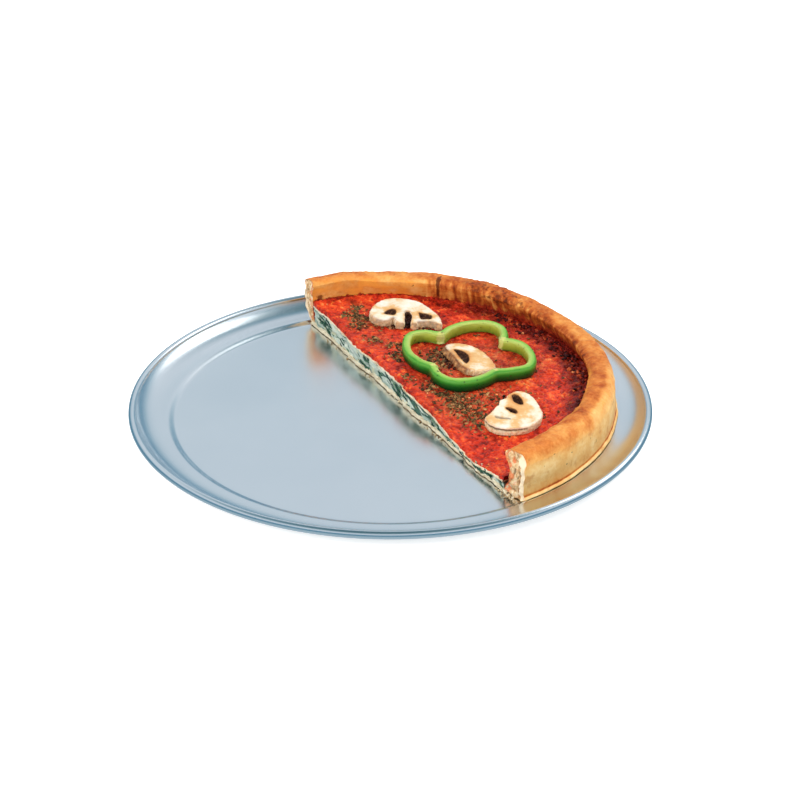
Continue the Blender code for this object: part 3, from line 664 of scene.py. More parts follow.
def green_pepper():
    """Green pepper: dark waxy skin outside, light flesh on the cut, yellow-green wall inside; skin and
    wall are painted darker low down and lighter high up, as painted shade and light.
    """
    material, place = start("green pepper")
    across, up = place.kept("across"), place.kept("up")
    wander = place.cloud(0.009, 3.0, 1.0)
    # Painted shade: the skin darkens towards the bottom, by the sauce
    skin = (up + (wander - 0.5)*0.5).step(-1.0, 0.9).ramp(
        (0.0, 2, 42, 14), (0.40, 10, 74, 20), (0.75, 38, 114, 30),
        (1.0, 88, 154, 54))
    flesh = (across*0.5 + 0.5 + (wander - 0.5)*0.5).ramp(
        (0.05, 178, 190, 100), (0.40, 148, 184, 84), (0.75, 112, 168, 62),
        (0.95, 66, 138, 42))
    # Painted light and shade: the inner wall is lighter towards the top, darker low down
    wall = (up*0.5 + 0.5 + (wander - 0.5)*0.4).ramp(
        (0.10, 96, 112, 30), (0.50, 138, 152, 48), (0.90, 176, 188, 84))
    colour = wall.over(skin, 1.0 - across.step(-0.25, 0.10))
    top = up.step(0.80, 0.95)
    colour = flesh.over(colour, top)
    notch = place.kept("notch")
    pale = (notch*0.9 + (place.cloud(0.0022, 3.0, 4.0) - 0.5)*0.9).step(0.55, 0.85)
    colour = colour.under((206, 196, 120), pale*(1.0 - across.step(0.1, 0.6))*0.75)
    specks = place.cloud(0.0040, 2.0, 6.0).step(0.665, 0.70)
    colour = colour.under((52, 52, 20), specks*0.7)
    grain = place.cloud(0.0015, 2.0, 7.0)
    rough = 0.24 + top*0.16 + grain*0.10
    return dress(material, Base_Color=colour, Roughness=rough, Normal=relief(grain, 0.0003, 0.4),
                 Specular_IOR_Level=0.35, Subsurface_Weight=0.10, Subsurface_Radius=(0.5, 1.0, 0.2),
                 Subsurface_Scale=0.0015)


def mushroom_flesh():
    """Mushroom: cream flesh with toasted patches, a brown skin line, dark ridged gills, and painted
    shade: dark browns on the side turned from the key lamp, the gill colour in creases and stem gap.
    """
    material, place = start("mushroom flesh")
    rim, gill, side = place.kept("rim"), place.kept("gill"), place.kept("side")
    patch = place.cloud(0.013, 3.0, 1.0, 0.60)
    fine = place.cloud(0.0016, 3.0, 2.0, 0.6)
    tone = patch*0.85 + fine*0.15 + place.kept("toast")*0.24
    colour = tone.ramp((0.32, 228, 221, 210), (0.43, 224, 207, 182),
                       (0.51, 216, 174, 120), (0.66, 204, 142, 82),
                       (0.90, 146, 84, 46))
    edge = (1.0 - (rim + (fine - 0.5)*0.9).step(0.05, 0.50))*(1.0 - side)
    colour = colour.under((240, 230, 218), edge*0.5)
    flank = fine.ramp((0.28, 170, 124, 80), (0.44, 222, 192, 146), (0.62, 236, 220, 188))
    colour = flank.over(colour, side*0.85)
    # Painted shade: dark browns on the side of each slice turned from the key lamp
    side_shade_colour = place.cloud(0.0030, 3.0, 5.0).ramp((0.3, 62, 32, 18), (0.5, 140, 84, 48),
                                                  (0.7, 206, 148, 92))
    colour = side_shade_colour.over(colour, place.kept("browned"))
    gills = fine.ramp((0.30, 26, 12, 8), (0.52, 64, 38, 26), (0.80, 134, 92, 62))
    colour = gills.over(colour, gill)
    return dress(material, Base_Color=colour, Roughness=0.48 + fine*0.2,
                 Normal=relief(fine*0.6 + patch*0.4, 0.0005, 0.5), Specular_IOR_Level=0.25,
                 Subsurface_Weight=0.15, Subsurface_Radius=(1.0, 0.8, 0.5), Subsurface_Scale=0.0012)


def flake_finish(name, stops, rough, pitch=0.0012):
    """A finish for small bits: a colour for each bit's own number, mottled finely."""
    material, place = start(name)
    fine = place.cloud(pitch, 3.0, 1.0, 0.6)
    tone = place.kept("tone")*0.75 + (fine - 0.5)*0.5 + 0.12
    return dress(material, Base_Color=tone.ramp(*stops), Roughness=rough, Specular_IOR_Level=0.25,
                 Normal=relief(fine, 0.0003, 0.6))


# Forms

def off_end(degrees):
    """Distance along the rim from its nearer cut end."""
    arc = np.radians(degrees)*BASE_RADIUS
    return np.minimum(arc, math.pi*BASE_RADIUS - arc)


def mound(x, y, size):
    """A smooth mound or dip: height times exp(-1/2 of the squared distances over the spreads)."""
    height, mid_x, mid_y, wide, deep = size
    return height*np.exp(-0.5*((x - mid_x)/wide)**2 - 0.5*((y - mid_y)/deep)**2)


def sauce_level(x, y):
    """The sauce's middle height: its level, two mounds and the dip near the right end."""
    return SAUCE_LEVEL + mound(x, y, RISE) + mound(x, y, MIDDLE_RISE) + mound(x, y, DIP)


def depth_share(x, y):
    """0 where the pizza is thinnest, at the dip, and 1 where it is thick."""
    return ease((sauce_level(x, y) - 0.0085)/0.0080)


def step_share(radius):
    """The eased rise of the tray's step, 0 in the well and 1 on the shelf."""
    return ease((radius - STEP_START)/(STEP_END - STEP_START))


def underside(x, y):
    """Just above the tray's top: its well, the step and the shelf."""
    return SHEET + GAP + (SHELF_RISE + 0.0002)*step_share(np.hypot(x, y))


def cut_share(y):
    """1 on the cut, fading to 0 a few millimetres behind it."""
    return np.exp(-((y - CUT_Y)/0.004)**2)


def waver(x, y, seed, size):
    """How far a layer's edge wanders up or down along the cut."""
    here = spot(x, 0.0, 0.0)
    return cut_share(y)*size*(noise(here, 0.013, seed) + 0.5*noise(here, 0.004, seed + 50))


def floor_top(x, y):
    """The bottom crust's top: thicker where the pizza is thick, wavering along the cut."""
    share = depth_share(x, y)
    return SHEET + GAP + FLOOR_THIN + (FLOOR_THICK - FLOOR_THIN)*share + waver(x, y, 3, 0.0007)


def sheet_top(x, y):
    """The dough sheet's top: the sauce's level less the sauce's thickness and the gap."""
    thickness = SAUCE_THIN + (SAUCE_THICK - SAUCE_THIN)*depth_share(x, y)
    return sauce_level(x, y) - thickness - GAP + waver(x, y, 5, 0.0004)


def sheet_low(x, y):
    """The dough sheet's underside: its thickness below its top, thicker here and there at the cut."""
    return sheet_top(x, y) - DOUGH_SHEET - np.abs(waver(x, y, 8, 0.0008))


def cut_steps(x):
    """Where the knife left the cut standing proud or set back: eased steps along x."""
    total = 0.0*x
    for place, size in CUT_STEPS:
        total = total + size*(ease((x - place)/0.0030) - ease((x - place - 0.016)/0.0200))
    return total


def reach(angle, radius):
    """Distance from the middle of the cut to the pizza's circle of a radius, at an angle."""
    offset = CUT_Y - PIZZA_Y
    return np.sqrt(radius**2 - (offset*np.cos(angle))**2) - offset*np.sin(angle)


def half_round(u, v, radius):
    """Spread the unit square over the half round of a radius, its side v = 0 on the cut."""
    p = 2.0*u - 1.0
    x = p*np.sqrt(1.0 - 0.5*v*v)
    y = v*np.sqrt(1.0 - 0.5*p*p)
    angle = np.arctan2(y, x)
    far = np.hypot(x, y)*reach(angle, radius)
    return PIZZA_X + far*np.cos(angle), CUT_Y + far*np.sin(angle)


def ring_line(degrees):
    """Radius of the pepper ring's middle line: a cubic between each two lobe points, whose slope at
    a point runs from the point before to the point after."""
    places, radii = np.array(RING_LOBES, float).T
    before = np.concatenate((places[-1:] - 360.0, places[:-1]))
    after = np.concatenate((places[1:], places[:1] + 360.0))
    slopes = (np.roll(radii, -1) - np.roll(radii, 1))/(after - before)
    at = (degrees - places[0]) % 360.0 + places[0]
    k = np.clip(np.searchsorted(places, at, side="right") - 1, 0, len(places) - 1)
    n = (k + 1) % len(places)
    span = after[k] - places[k]
    t = (at - places[k])/span
    return (radii[k] + (radii[n] - radii[k])*t*t*(3.0 - 2.0*t)
            + slopes[k]*span*t*(1.0 - t)**2 + slopes[n]*span*t*t*(t - 1.0))


def off_ring(x, y):
    """Distance from the pepper ring's middle line, less than 0 on its inner side."""
    angle = np.degrees(np.arctan2(y - RING_Y, x - RING_X))
    return np.hypot(x - RING_X, y - RING_Y) - ring_line(angle)


def from_middle(x, y):
    """Distance from the middle of the pizza's circle."""
    return np.hypot(x - PIZZA_X, y - PIZZA_Y)


def off_mushrooms(x, y):
    """Rough distance outside the nearest mushroom slice."""
    nearest = 1.0 + 0.0*x
    for _, mid_x, mid_y, turn, _, outline, _ in MUSHROOMS:
        own_x, own_y = turned(1000.0*(x - mid_x), 1000.0*(y - mid_y), -turn)
        nearest = np.minimum(nearest, -0.001*depth_in(own_x, own_y, np.array(outline, float)))
    return nearest


def on_bare_sauce(x, y, radius, spare=0.0):
    """Whether places lie within a radius, behind the cut, off the slices and off the ring, less the
    little that it may be overlapped."""
    inside = (from_middle(x, y) < radius) & (y > CUT_Y + 0.0006)
    return inside & (np.abs(off_ring(x, y)) > 0.5*RING_WALL - spare) & (off_mushrooms(x, y) > 0.0)


def sauce_top(x, y):
    """The sauce's surface, its relief from 0 to 1 and each lump's number: broad waves, coarse and
    fine lumps, lower round the toppings, and a rise where it climbs the rim."""
    away = np.minimum(np.abs(off_ring(x, y)) - 0.5*RING_WALL, off_mushrooms(x, y))
    clear = ease((away + 0.001)/0.004)
    coarse, _ = lumps(x, y, 0.0058, 3)
    fine, tone = lumps(x, y, 0.0027, 19)
    here = spot(x, y, 0.0)
    broad = noise(here, 0.019, 5, 3)
    height = np.clip(0.34*coarse + 0.40*fine + 0.22 + 0.22*noise(here, 0.0030, 9, 2), 0.0, 1.0)
    climb = ease((from_middle(x, y) - 0.1300)/0.0070)
    z = sauce_level(x, y) + (0.35 + 0.65*clear)*(0.0022*height - 0.0011 + 0.0007*broad)
    z = z + 0.0003*(1.0 - clear) + climb*(0.0008 + 0.0006*noise(here, 0.009, 7, 2))
    return z, height, tone


# Pieces

def make_tray():
    """The tray: the middle line of its sheet, walked out over the well, the step, the shelf, the
    rising side and round the rolled bead, offset to both sides and turned about the Z axis."""
    low = 0.5*SHEET
    shelf = low + SHELF_RISE
    bead_x = TRAY_RADIUS - 0.5*SHEET - BEAD_RADIUS
    well = spot(np.linspace(0.0, STEP_START, 40), np.full(40, low))
    radius = np.linspace(STEP_START, STEP_END, 20)[1:]
    step = spot(radius, low + SHELF_RISE*step_share(radius))
    t = np.sin(0.5*math.pi*np.linspace(0.0, 1.0, 30)[1:])
    side = bead_x - BEAD_RADIUS - STEP_END
    wall = spot(STEP_END + t*side, shelf + (BEAD_HEIGHT - shelf)*(0.05*t + 0.95*t**3.6))
    turn = np.radians(np.linspace(180.0, -116.0, 34))
    bead = spot(bead_x + BEAD_RADIUS*np.cos(turn), BEAD_HEIGHT + BEAD_RADIUS*np.sin(turn))
    line = np.concatenate((well, step, wall, bead[1:]))
    ahead = np.gradient(line, axis=0)
    ahead = ahead/np.linalg.norm(ahead, axis=1, keepdims=True)
    outward = spot(-ahead[:, 1], ahead[:, 0])*0.5*SHEET
    outline = np.concatenate((line + outward, (line - outward)[::-1]))
    outline[0, 0] = outline[-1, 0] = 0.0
    steps = 400
    angle = np.linspace(0.0, 2.0*math.pi, steps, endpoint=False)
    rings = outline[1:-1]
    turned_line = spot(rings[:, :1]*np.cos(angle), rings[:, :1]*np.sin(angle), rings[:, 1:])
    points = np.concatenate((turned_line.reshape(-1, 3), [(0.0, 0.0, outline[0, 1])],
                             [(0.0, 0.0, outline[-1, 1])]))
    number = np.arange(len(rings)*steps).reshape(len(rings), steps)
    number = np.concatenate((number, number[:, :1]), axis=1)
    top = np.full(steps, len(points) - 2)
    bottom = np.full(steps, len(points) - 1)
    faces = [grid(number), np.stack((top, number[0, :-1], number[0, 1:]), axis=-1),
             np.stack((bottom, number[-1, 1:], number[-1, :-1]), axis=-1)]
    add_piece("tray_dressed", points, faces, tray_metal(), "tray", ("tray",))


def rim_shape(u, v, w):
    """The rim: u along the arc, v from its inner to its outer face, w from foot to crest. Its faces
    carry folds, blisters and a crack, and its two ends are torn."""
    degrees = 180.0*u
    angle = np.radians(degrees)
    arc = angle*BASE_RADIUS
    to_end = off_end(degrees)
    crest = along(CREST, degrees)
    left_end = ease((degrees - 160.0)/10.0)
    lip = LIP*(1.0 - ease(w/0.14)) - (LIP + END_TUCK)*left_end*(1.0 - ease(w/0.40))
    inner = FOOT_RADIUS + (along(INNER_TOP, degrees) - FOOT_RADIUS)*ease((w - 0.50)/0.50)
    inner = inner + END_HOLLOW*np.exp(-arc/0.015)*within(w, 0.12, 0.30, 0.95, 0.25)
    outer = BASE_RADIUS - WALL_LEAN*w + lip
    radius = inner + v*(outer - inner)
    inner_drop = INNER_DROP*1.25*np.clip(1.0 - v/0.34, 0.0, 1.0)**2
    outer_drop = OUTER_DROP*np.clip(2.0*v - 1.0, 0.0, 1.0)**4
    far = reach(angle, radius)
    x, y = PIZZA_X + far*np.cos(angle), CUT_Y + far*np.sin(angle)
    foot = underside(x, y) + 0.0002
    z = foot + (crest - inner_drop - outer_drop - foot)*w
    here = spot(arc, radius*0.7, z*0.7)
    swell = 0.0006*noise(here, 0.030, 11, 2) + 0.00035*noise(here, 0.008, 12, 2)
    on_wall = within(w, 0.0, 0.3, 1.08, 0.3)
    folds = noise(spot(arc, 0.0, z*0.28), 0.0068, 14, 2)
    folded = within(degrees, 52.0, 16.0, 150.0, 14.0)*(0.35 + 0.65*on_wall)
    inward = (1.0 - v)*(0.0010*folds*folded + swell) + v*0.7*swell
    blister = noise(spot(arc, radius, z*0.4), 0.0046, 17, 2)
    blistered = within(degrees, 104.0, 8.0, 136.0, 8.0)*ease((w - 0.55)/0.3)
    z = z + w*(swell + 0.00022*noise(here, 0.0030, 13, 2) + 0.0005*blistered*blister)
    wriggle = 0.0012*noise(spot(z, 0.0, v*0.004), 0.005, 23, 2)
    off_crack = (degrees - CRACK_ANGLE)*math.pi/180.0*BASE_RADIUS + wriggle
    cracked = np.exp(-(off_crack/0.0006)**2)*ease((w - 0.30)/0.3)*(1.0 - ease((v - 0.45)/0.2))
    inward = inward - (1.0 - v)*0.0013*cracked
    z = z - 0.0014*cracked*w
    radius_shift = -inward*(1.0 - v) + inward*v
    x = x + radius_shift*np.cos(angle)
    y = y + radius_shift*np.sin(angle)
    near = np.exp(-arc/0.012)
    set_back = near*(0.0005 + 0.0050*v**1.5 + 0.0026*w*w)
    layers = noise(spot(v*0.014, 0.6, z*0.55 + 0.01*v), 0.0034, 31, 3)
    pits = noise(spot(v*0.016, 0.0, z), 0.0042, 37, 2)
    inside = within(v, 0.0, 0.10, 1.0, 0.07)*ease((1.0 - w)/0.05)
    hollow = inside*(0.0013*layers + 0.0026*np.clip(pits - 0.08, 0.0, 1.0)) + 0.0005*layers
    bent = 0.07*noise(spot(z, 0.0, 0.0), 0.009, 43, 2)
    for seam, deep in ((0.70, 0.0014), (0.38, 0.0009)):
        hollow = hollow + deep*np.exp(-((v - seam - bent)/0.045)**2)*ease((1.0 - w)/0.10)
    ragged = 0.0010*noise(spot(v*0.02, 0.3, z), 0.010, 41, 2)
    return spot(x, y + set_back + np.exp(-to_end/0.0035)*ragged + np.exp(-to_end/0.0012)*hollow, z)


def make_rim():
    """The baked rim, with numbers for how baked, cut, smeared and charred each point is; the crack's
    painted shade rides on the char number.
    """
    us = np.interp(np.linspace(0.0, 1.0, 400), (0.0, 0.05, 0.95, 1.0), (0.0, 0.0125, 0.9875, 1.0))
    vs = 0.5 - 0.5*np.cos(math.pi*np.linspace(0.0, 1.0, 34))
    ws = np.interp(np.linspace(0.0, 1.0, 58), (0.0, 0.2, 0.8, 1.0), (0.0, 0.14, 0.84, 1.0))
    points, faces, u, v, w = bar(rim_shape, us, vs, ws)
    x, y, z = points.T
    degrees = 180.0*u
    wall = along(((0, 0.16), (25, 0.18), (60, 0.24), (90, 0.40), (180, 0.42)), degrees)
    top = along(((0, 0.54), (20, 0.58), (35, 0.72), (55, 0.68), (66, 0.58), (80, 0.52), (100, 0.62),
                 (118, 0.74), (128, 0.76), (137, 0.66), (160, 0.52), (170, 0.60), (180, 0.54)), degrees)
    pale_side = within(degrees, 26.0, 8.0, 66.0, 10.0)*ease((v - 0.55)/0.25)
    outer_bake = wall + (top - wall)*ease((z - 0.020)/0.011)*(1.0 - 0.65*pale_side)
    outer_bake = outer_bake + 0.16*(1.0 - ease((z - 0.004)/0.012))
    inner_bake = along(((0, 0.62), (60, 0.74), (105, 0.80), (130, 0.72), (150, 0.52), (180, 0.56)),
                       degrees)
    side = ease((v - 0.05)/0.30)
    bake = inner_bake + (outer_bake - inner_bake)*side
    lip = (1.0 - ease((w - 0.09)/0.03))*side
    over_lip = side*ease((w - 0.08)/0.03)*(1.0 - ease((w - 0.12)/0.08))
    bake = bake - 0.20*lip + 0.40*over_lip
    shown = within(v, 0.0, 0.03, 1.0, 0.035)*within(w, 0.0, 0.02, 1.0, 0.025)
    at_end = (off_end(degrees) < 1e-9).astype(float)
    level = sauce_level(x, y)
    rise = along(((0, 0.0016), (60, 0.0040), (85, 0.0075), (118, 0.0070), (135, 0.0028), (180, 0.0022)),
                 degrees)
    drip = np.exp(-np.clip(z - level, 0.0, 1.0)/rise)*(v < 0.2)
    spotted = np.exp(-(np.linalg.norm(points - BURNT_SPOT, axis=1)/0.0055)**2)*(v < 0.3)
    patches = along(((0, 0.0), (98, 0.10), (110, 0.52), (126, 0.55), (134, 0.20), (138, 0.30),
                     (142, 0.05), (180, 0.0)), degrees)
    char = patches*ease((z - 0.024)/0.006)*(1.0 - ease((v - 0.45)/0.2)) + 0.85*spotted
    wall = (1.0 - ease((v - 0.02)/0.22))*ease(w/0.1)
    folded = within(degrees, 52.0, 16.0, 150.0, 10.0)
    # Painted shade: the crack is darkened in the char colour
    crack = np.exp(-((degrees - CRACK_ANGLE)/0.7)**2)*ease((w - 0.4)/0.3)*(1.0 - ease((v - 0.4)/0.2))
    add_piece("crust_rim", points, faces, baked_crust(), "crust", ("crust",), bake=bake,
              cut=shown*at_end, drip=drip, char=char + 0.9*crack, arc=np.radians(degrees)*BASE_RADIUS,
              across=v, wall=wall, folded=folded)


def cut_back(x, z, seed, size):
    """How far a layer's face stands back along y: steps along the cut and torn relief."""
    fine = noise(spot(x*0.35, 0.0, z + 0.18*x), 0.0022, seed, 3)
    coarse = noise(spot(x, 0.0, z*1.5), 0.011, seed + 5, 2)
    return 0.6*cut_steps(x) + size*(fine + 0.8*coarse)


def layer(bottom, top, radius, seed, size, back=0.0, pits=0.0):
    """A layer of the half round between two heights, its face on the cut torn by a size."""
    def shape(u, v, w):
        x, y = half_round(u, v, radius)
        low = bottom(x, y)
        z = low + (top(x, y) - low)*w
        face = np.exp(-v/0.012)
        hollow = np.clip(noise(spot(x*0.4, 0.0, z + 0.18*x), 0.0046, seed + 9, 2) - 0.15, 0.0, 1.0)
        return spot(x, y + face*(cut_back(x, z, seed, size) + back + pits*hollow), z)
    return shape


FACE_VS = np.array((0.0, 0.002, 0.006, 0.013, 0.025, 0.06, 0.15, 0.35, 0.65, 1.0))
LOW_VS = np.array((0.0, 0.1, 0.4, 1.0))


def make_layers():
    """Bottom crust, filling and dough sheet, finely torn where the cut shows them."""
    us = np.linspace(0.0, 1.0, 640)
    under = layer(underside, lambda x, y: floor_top(x, y) + GAP, FOOT_RADIUS + 0.0035, 61, 0.0006)
    points, faces, *_ = bar(under, us, FACE_VS, np.linspace(0.0, 1.0, 9), LOW_VS)
    add_piece("crust_bottom", points, faces, bottom_crust(), "crust", ("crust",))
    middle = layer(floor_top, sheet_low, LAYER_RADIUS, 71, 0.0007, 0.0003, 0.0030)
    points, faces, *_ = bar(middle, us, FACE_VS, np.linspace(0.0, 1.0, 26), LOW_VS)
    add_piece("filling_dressed", points, faces, cheese_and_leaf(), "filling", ("filling",))
    cover = layer(lambda x, y: sheet_low(x, y) - 0.0002, sheet_top, LAYER_RADIUS, 81, 0.0006, -0.0006)
    points, faces, *_ = bar(cover, us, FACE_VS, np.linspace(0.0, 1.0, 5), LOW_VS)
    add_piece("dough_sheet", points, faces, soft_dough(), "dough", ("top_dough",))


def make_shreds():
    """Leaf shreds standing out of the cut face: long thin flakes lying along the layers."""
    draw = np.random.default_rng(5)
    x = draw.uniform(-0.130, 0.131, 900)
    thick = noise(spot(x, 0.0, 0.0), 0.016, 77, 2)
    x = x[thick + draw.normal(0.0, 0.25, len(x)) > 0.28]
    count = len(x)
    low, high = floor_top(x, CUT_Y), sheet_low(x, CUT_Y)
    z = low + (high - low)*draw.uniform(0.08, 0.95, count)
    y = CUT_Y + cut_back(x, z, 71, 0.0007) + 0.0002
    sizes = spot(draw.uniform(0.0012, 0.0052, count), draw.uniform(0.0003, 0.0007, count),
                 draw.uniform(0.00020, 0.00060, count))
    turns = spot(draw.normal(0.0, 0.4, count), draw.normal(0.26, 0.16, count),
                 draw.normal(0.0, 0.12, count))
    stops = ((0.10, 14, 38, 32), (0.45, 36, 76, 62), (0.75, 76, 114, 88),
             (0.95, 160, 178, 150))
    strew("leaf_shreds", spot(x, y, z), sizes, flake_finish("cooked leaf", stops, 0.38), "filling", 6,
          0.15, turns, tone=draw.uniform(0.0, 1.0, count))


def make_sauce():
    """The sauce, with numbers for its lumps and for where it is browned or burnt."""
    def shape(u, v, w):
        x, y = half_round(u, v, LAYER_RADIUS)
        top, _, _ = sauce_top(x, y)
        low = sheet_top(x, y) - 0.0001
        z = low + (top - low)*w
        face = np.exp(-v/0.008)
        return spot(x, y + face*(cut_back(x, z, 91, 0.0007) - 0.0002 + 0.0008*w), z)
    us = np.linspace(0.0, 1.0, 430)
    vs = np.concatenate(((0.0, 0.001, 0.003), np.linspace(0.006, 1.0, 196)))
    points, faces, *_ = bar(shape, us, vs, np.linspace(0.0, 1.0, 5), LOW_VS)
    x, y, z = points.T
    _, height, tone = sauce_top(x, y)
    here = spot(x, y, 0.0)
    angle = np.degrees(np.arctan2(y - PIZZA_Y, x - PIZZA_X))
    edge = ease((from_middle(x, y) - 0.1080)/0.0220)
    reddest = along(((-10, 0.0), (8, 0.10), (30, 0.55), (50, 1.0), (70, 1.0), (100, 0.95), (125, 0.75),
                     (140, 0.35), (160, 0.15), (190, 0.1)), angle)
    mottle = noise(here, 0.011, 44, 3)
    burnt = np.clip(ease(edge*reddest*1.15 + 0.45*mottle*edge - 0.18)*0.95, 0.0, 1.0)
    brown = 0.0*x
    for mid_x, mid_y, spread, share in BROWNED:
        away = np.hypot(x - mid_x, (y - mid_y)*1.3)
        brown = np.maximum(brown, share*np.exp(-(away/spread)**2))
    brown = np.clip(brown + 0.7*brown*noise(here, 0.006, 47, 3), 0.0, 0.9)
    add_piece("sauce_dressed", points, faces, tomato_sauce(), "sauce", ("sauce",), height=height,
              tone=tone, brown=brown, burnt=burnt)


def make_herbs():
    """Dried herb flakes strewn in clusters on the sauce."""
    draw = np.random.default_rng(12)
    x = np.concatenate([draw.normal(mid, wide, n) for mid, _, wide, _, n in HERBS])
    y = np.concatenate([draw.normal(mid, deep, n) for _, mid, _, deep, n in HERBS])
    free = on_bare_sauce(x, y, 0.1330, 0.0004)
    x, y = x[free], y[free]
    z, _, _ = sauce_top(x, y)
    count = len(x)
    long = 0.00060 + 0.00180*draw.uniform(0.0, 1.0, count)**1.8
    sizes = spot(long, long*draw.uniform(0.40, 0.9, count), draw.uniform(0.00025, 0.00060, count))
    stops = ((0.08, 42, 28, 16), (0.34, 76, 56, 30), (0.56, 104, 84, 48),
             (0.72, 138, 92, 54), (0.86, 176, 128, 80), (0.97, 218, 176, 120))
    strew("herb_flakes", spot(x, y, z + 0.0001), sizes, flake_finish("dried herbs", stops, 0.6),
          "sauce", 13, 0.35, tone=draw.uniform(0.0, 1.0, count))


def make_bits():
    """Burnt lumps where the sauce meets the rim, and tan and orange bits strewn over the sauce."""
    draw = np.random.default_rng(41)
    burnt, pale = 300, 60
    angle = np.radians(draw.uniform(28.0, 118.0, burnt))
    far = 0.1345 - np.abs(draw.normal(0.0, 0.0050, burnt))
    x = np.concatenate((PIZZA_X + far*np.cos(angle), draw.uniform(-0.110, 0.110, pale)))
    y = np.concatenate((PIZZA_Y + far*np.sin(angle), draw.uniform(0.016, 0.125, pale)))
    count = len(x)
    free = on_bare_sauce(x, y, 0.1350)
    long = draw.uniform(0.0008, 0.0026, count)*np.where(np.arange(count) < burnt, 1.0, 0.55)
    sizes = spot(long, long*draw.uniform(0.5, 0.9, count), long*draw.uniform(0.35, 0.7, count))
    tone = np.concatenate((draw.uniform(0.0, 0.60, burnt), draw.uniform(0.60, 0.90, pale)))
    x, y, sizes, tone = x[free], y[free], sizes[free], tone[free]
    z, _, _ = sauce_top(x, y)
    stops = ((0.10, 30, 6, 6), (0.30, 78, 16, 12), (0.48, 148, 38, 22),
             (0.66, 212, 104, 52), (0.82, 232, 162, 108), (0.96, 240, 206, 164))
    strew("sauce_bits", spot(x, y, z + 0.0001), sizes, flake_finish("bits in the sauce", stops, 0.4),
          "sauce", 42, 0.1, tone=tone)


def make_pepper():
    """The pepper ring: an upright section with rounded corners carried round the lobed line, thicker
    and knotted inwards at its four notches."""
    steps, corners = 720, 60
    degrees = np.linspace(-180.0, 180.0, steps, endpoint=False)
    radius = ring_line(degrees)
    angle = np.radians(degrees)
    line = spot(RING_X + radius*np.cos(angle), RING_Y + radius*np.sin(angle))
    ahead = np.roll(line, -1, axis=0) - np.roll(line, 1, axis=0)
    ahead = ahead/np.linalg.norm(ahead, axis=1, keepdims=True)
    outward = spot(ahead[:, 1], -ahead[:, 0])
    turn = 2.0*math.pi*(np.arange(corners) + 0.5)/corners
    across = np.sign(np.cos(turn))*np.abs(np.cos(turn))**0.32
    up = np.sign(np.sin(turn))*np.abs(np.sin(turn))**0.28
    notch = sum(np.exp(-(((degrees - at + 180.0) % 360.0 - 180.0)/4.0)**2) for at in RING_NOTCHES)
    middle = sauce_level(line[:, 0], line[:, 1]) + 2.0*GAP + 0.5*RING_HEIGHT
    along_ring = spot(line[:, :1], line[:, 1:], 0.004*up)
    rough = noise(along_ring + 0.1*across[:, None], 0.0055, 3, 3)
    swell = noise(along_ring, 0.019, 8, 2)
    inner, outer, upper = (np.clip(part, 0.0, 1.0) for part in (-across, across, up))
    wide = 0.5*RING_WALL*across + 0.00025*swell*across
    wide = wide - inner*(0.00035*rough + notch[:, None]*(0.0009 + 0.0006*rough))
    thin = 1.0 - 0.25*upper**3*outer
    tall = 0.5*RING_HEIGHT*up*(1.0 + 0.05*swell) + 0.00018*rough*upper - 0.0006*across**4*upper
    points = spot(line[:, :1] + outward[:, :1]*wide*thin, line[:, 1:] + outward[:, 1:]*wide*thin,
                  middle[:, None] + tall)
    number = np.arange(steps*corners).reshape(steps, corners)
    number = np.concatenate((number, number[:1]), axis=0)
    number = np.concatenate((number, number[:, :1]), axis=1)
    full = np.ones((steps, 1))
    add_piece("pepper_ring_dressed", points.reshape(-1, 3), [grid(number)], green_pepper(), "pepper",
              ("pepper_ring",), across=full*across, up=full*up, notch=notch[:, None]*np.ones(corners))


def slice_sheet(name, mid_x, outline, openings):
    """A fine square grid cut to a slice's smooth outline, in millimetres, its last points drawn on to
    the line. For each point: its place, how deep it lies in the outline, in a gill opening and in
    the slit, and the way in from the outline; then quads, the outline's edges and its points."""
    edge = closed_line(outline, 6)
    xs = np.arange(edge[:, 0].min() - 1.0, edge[:, 0].max() + 1.0, SLICE_GRID)
    ys = np.arange(edge[:, 1].min() - 1.0, edge[:, 1].max() + 1.0, SLICE_GRID)
    x, y = np.meshgrid(xs, ys, indexing="ij")
    wobble = noise(spot(x, y, 0.0), 2.6, mid_x > 0, 2)*0.30
    depth = depth_in(x, y, edge) + wobble
    gill = np.max([depth_in(x, y, closed_line(opening, 6)) for opening in openings], axis=0)
    gill = gill + 0.8*wobble
    slit = depth_in(x, y, closed_line(SLIT, 6)) + wobble if name == "mushroom_3" else gill - 99.0
    number = np.arange(x.size).reshape(x.shape)
    middle = 0.25*(depth[:-1, :-1] + depth[1:, :-1] + depth[1:, 1:] + depth[:-1, 1:])
    quads = grid(number)[middle.ravel() > 0.0]
    used = np.unique(quads)
    renumber = np.full(x.size, -1)
    renumber[used] = np.arange(len(used))
    quads = renumber[quads]
    sides = np.concatenate([quads[:, [k, (k + 1) % 4]] for k in range(4)])
    code = sides[:, 0]*len(used) + sides[:, 1]
    lone = sides[~np.isin(code, sides[:, 1]*len(used) + sides[:, 0])]
    slope_x, slope_y = np.gradient(depth, SLICE_GRID)
    x, y, depth, gill, slit = (table.ravel()[used] for table in (x, y, depth, gill, slit))
    inward = spot(slope_x.ravel()[used], slope_y.ravel()[used])
    inward = inward/np.maximum(np.linalg.norm(inward, axis=1, keepdims=True), 0.3)
    brim = np.unique(lone)
    x[brim] -= depth[brim]*inward[brim, 0]
    y[brim] -= depth[brim]*inward[brim, 1]
    depth[brim] = 0.0
    return x, y, depth, gill, slit, inward, quads, lone, brim


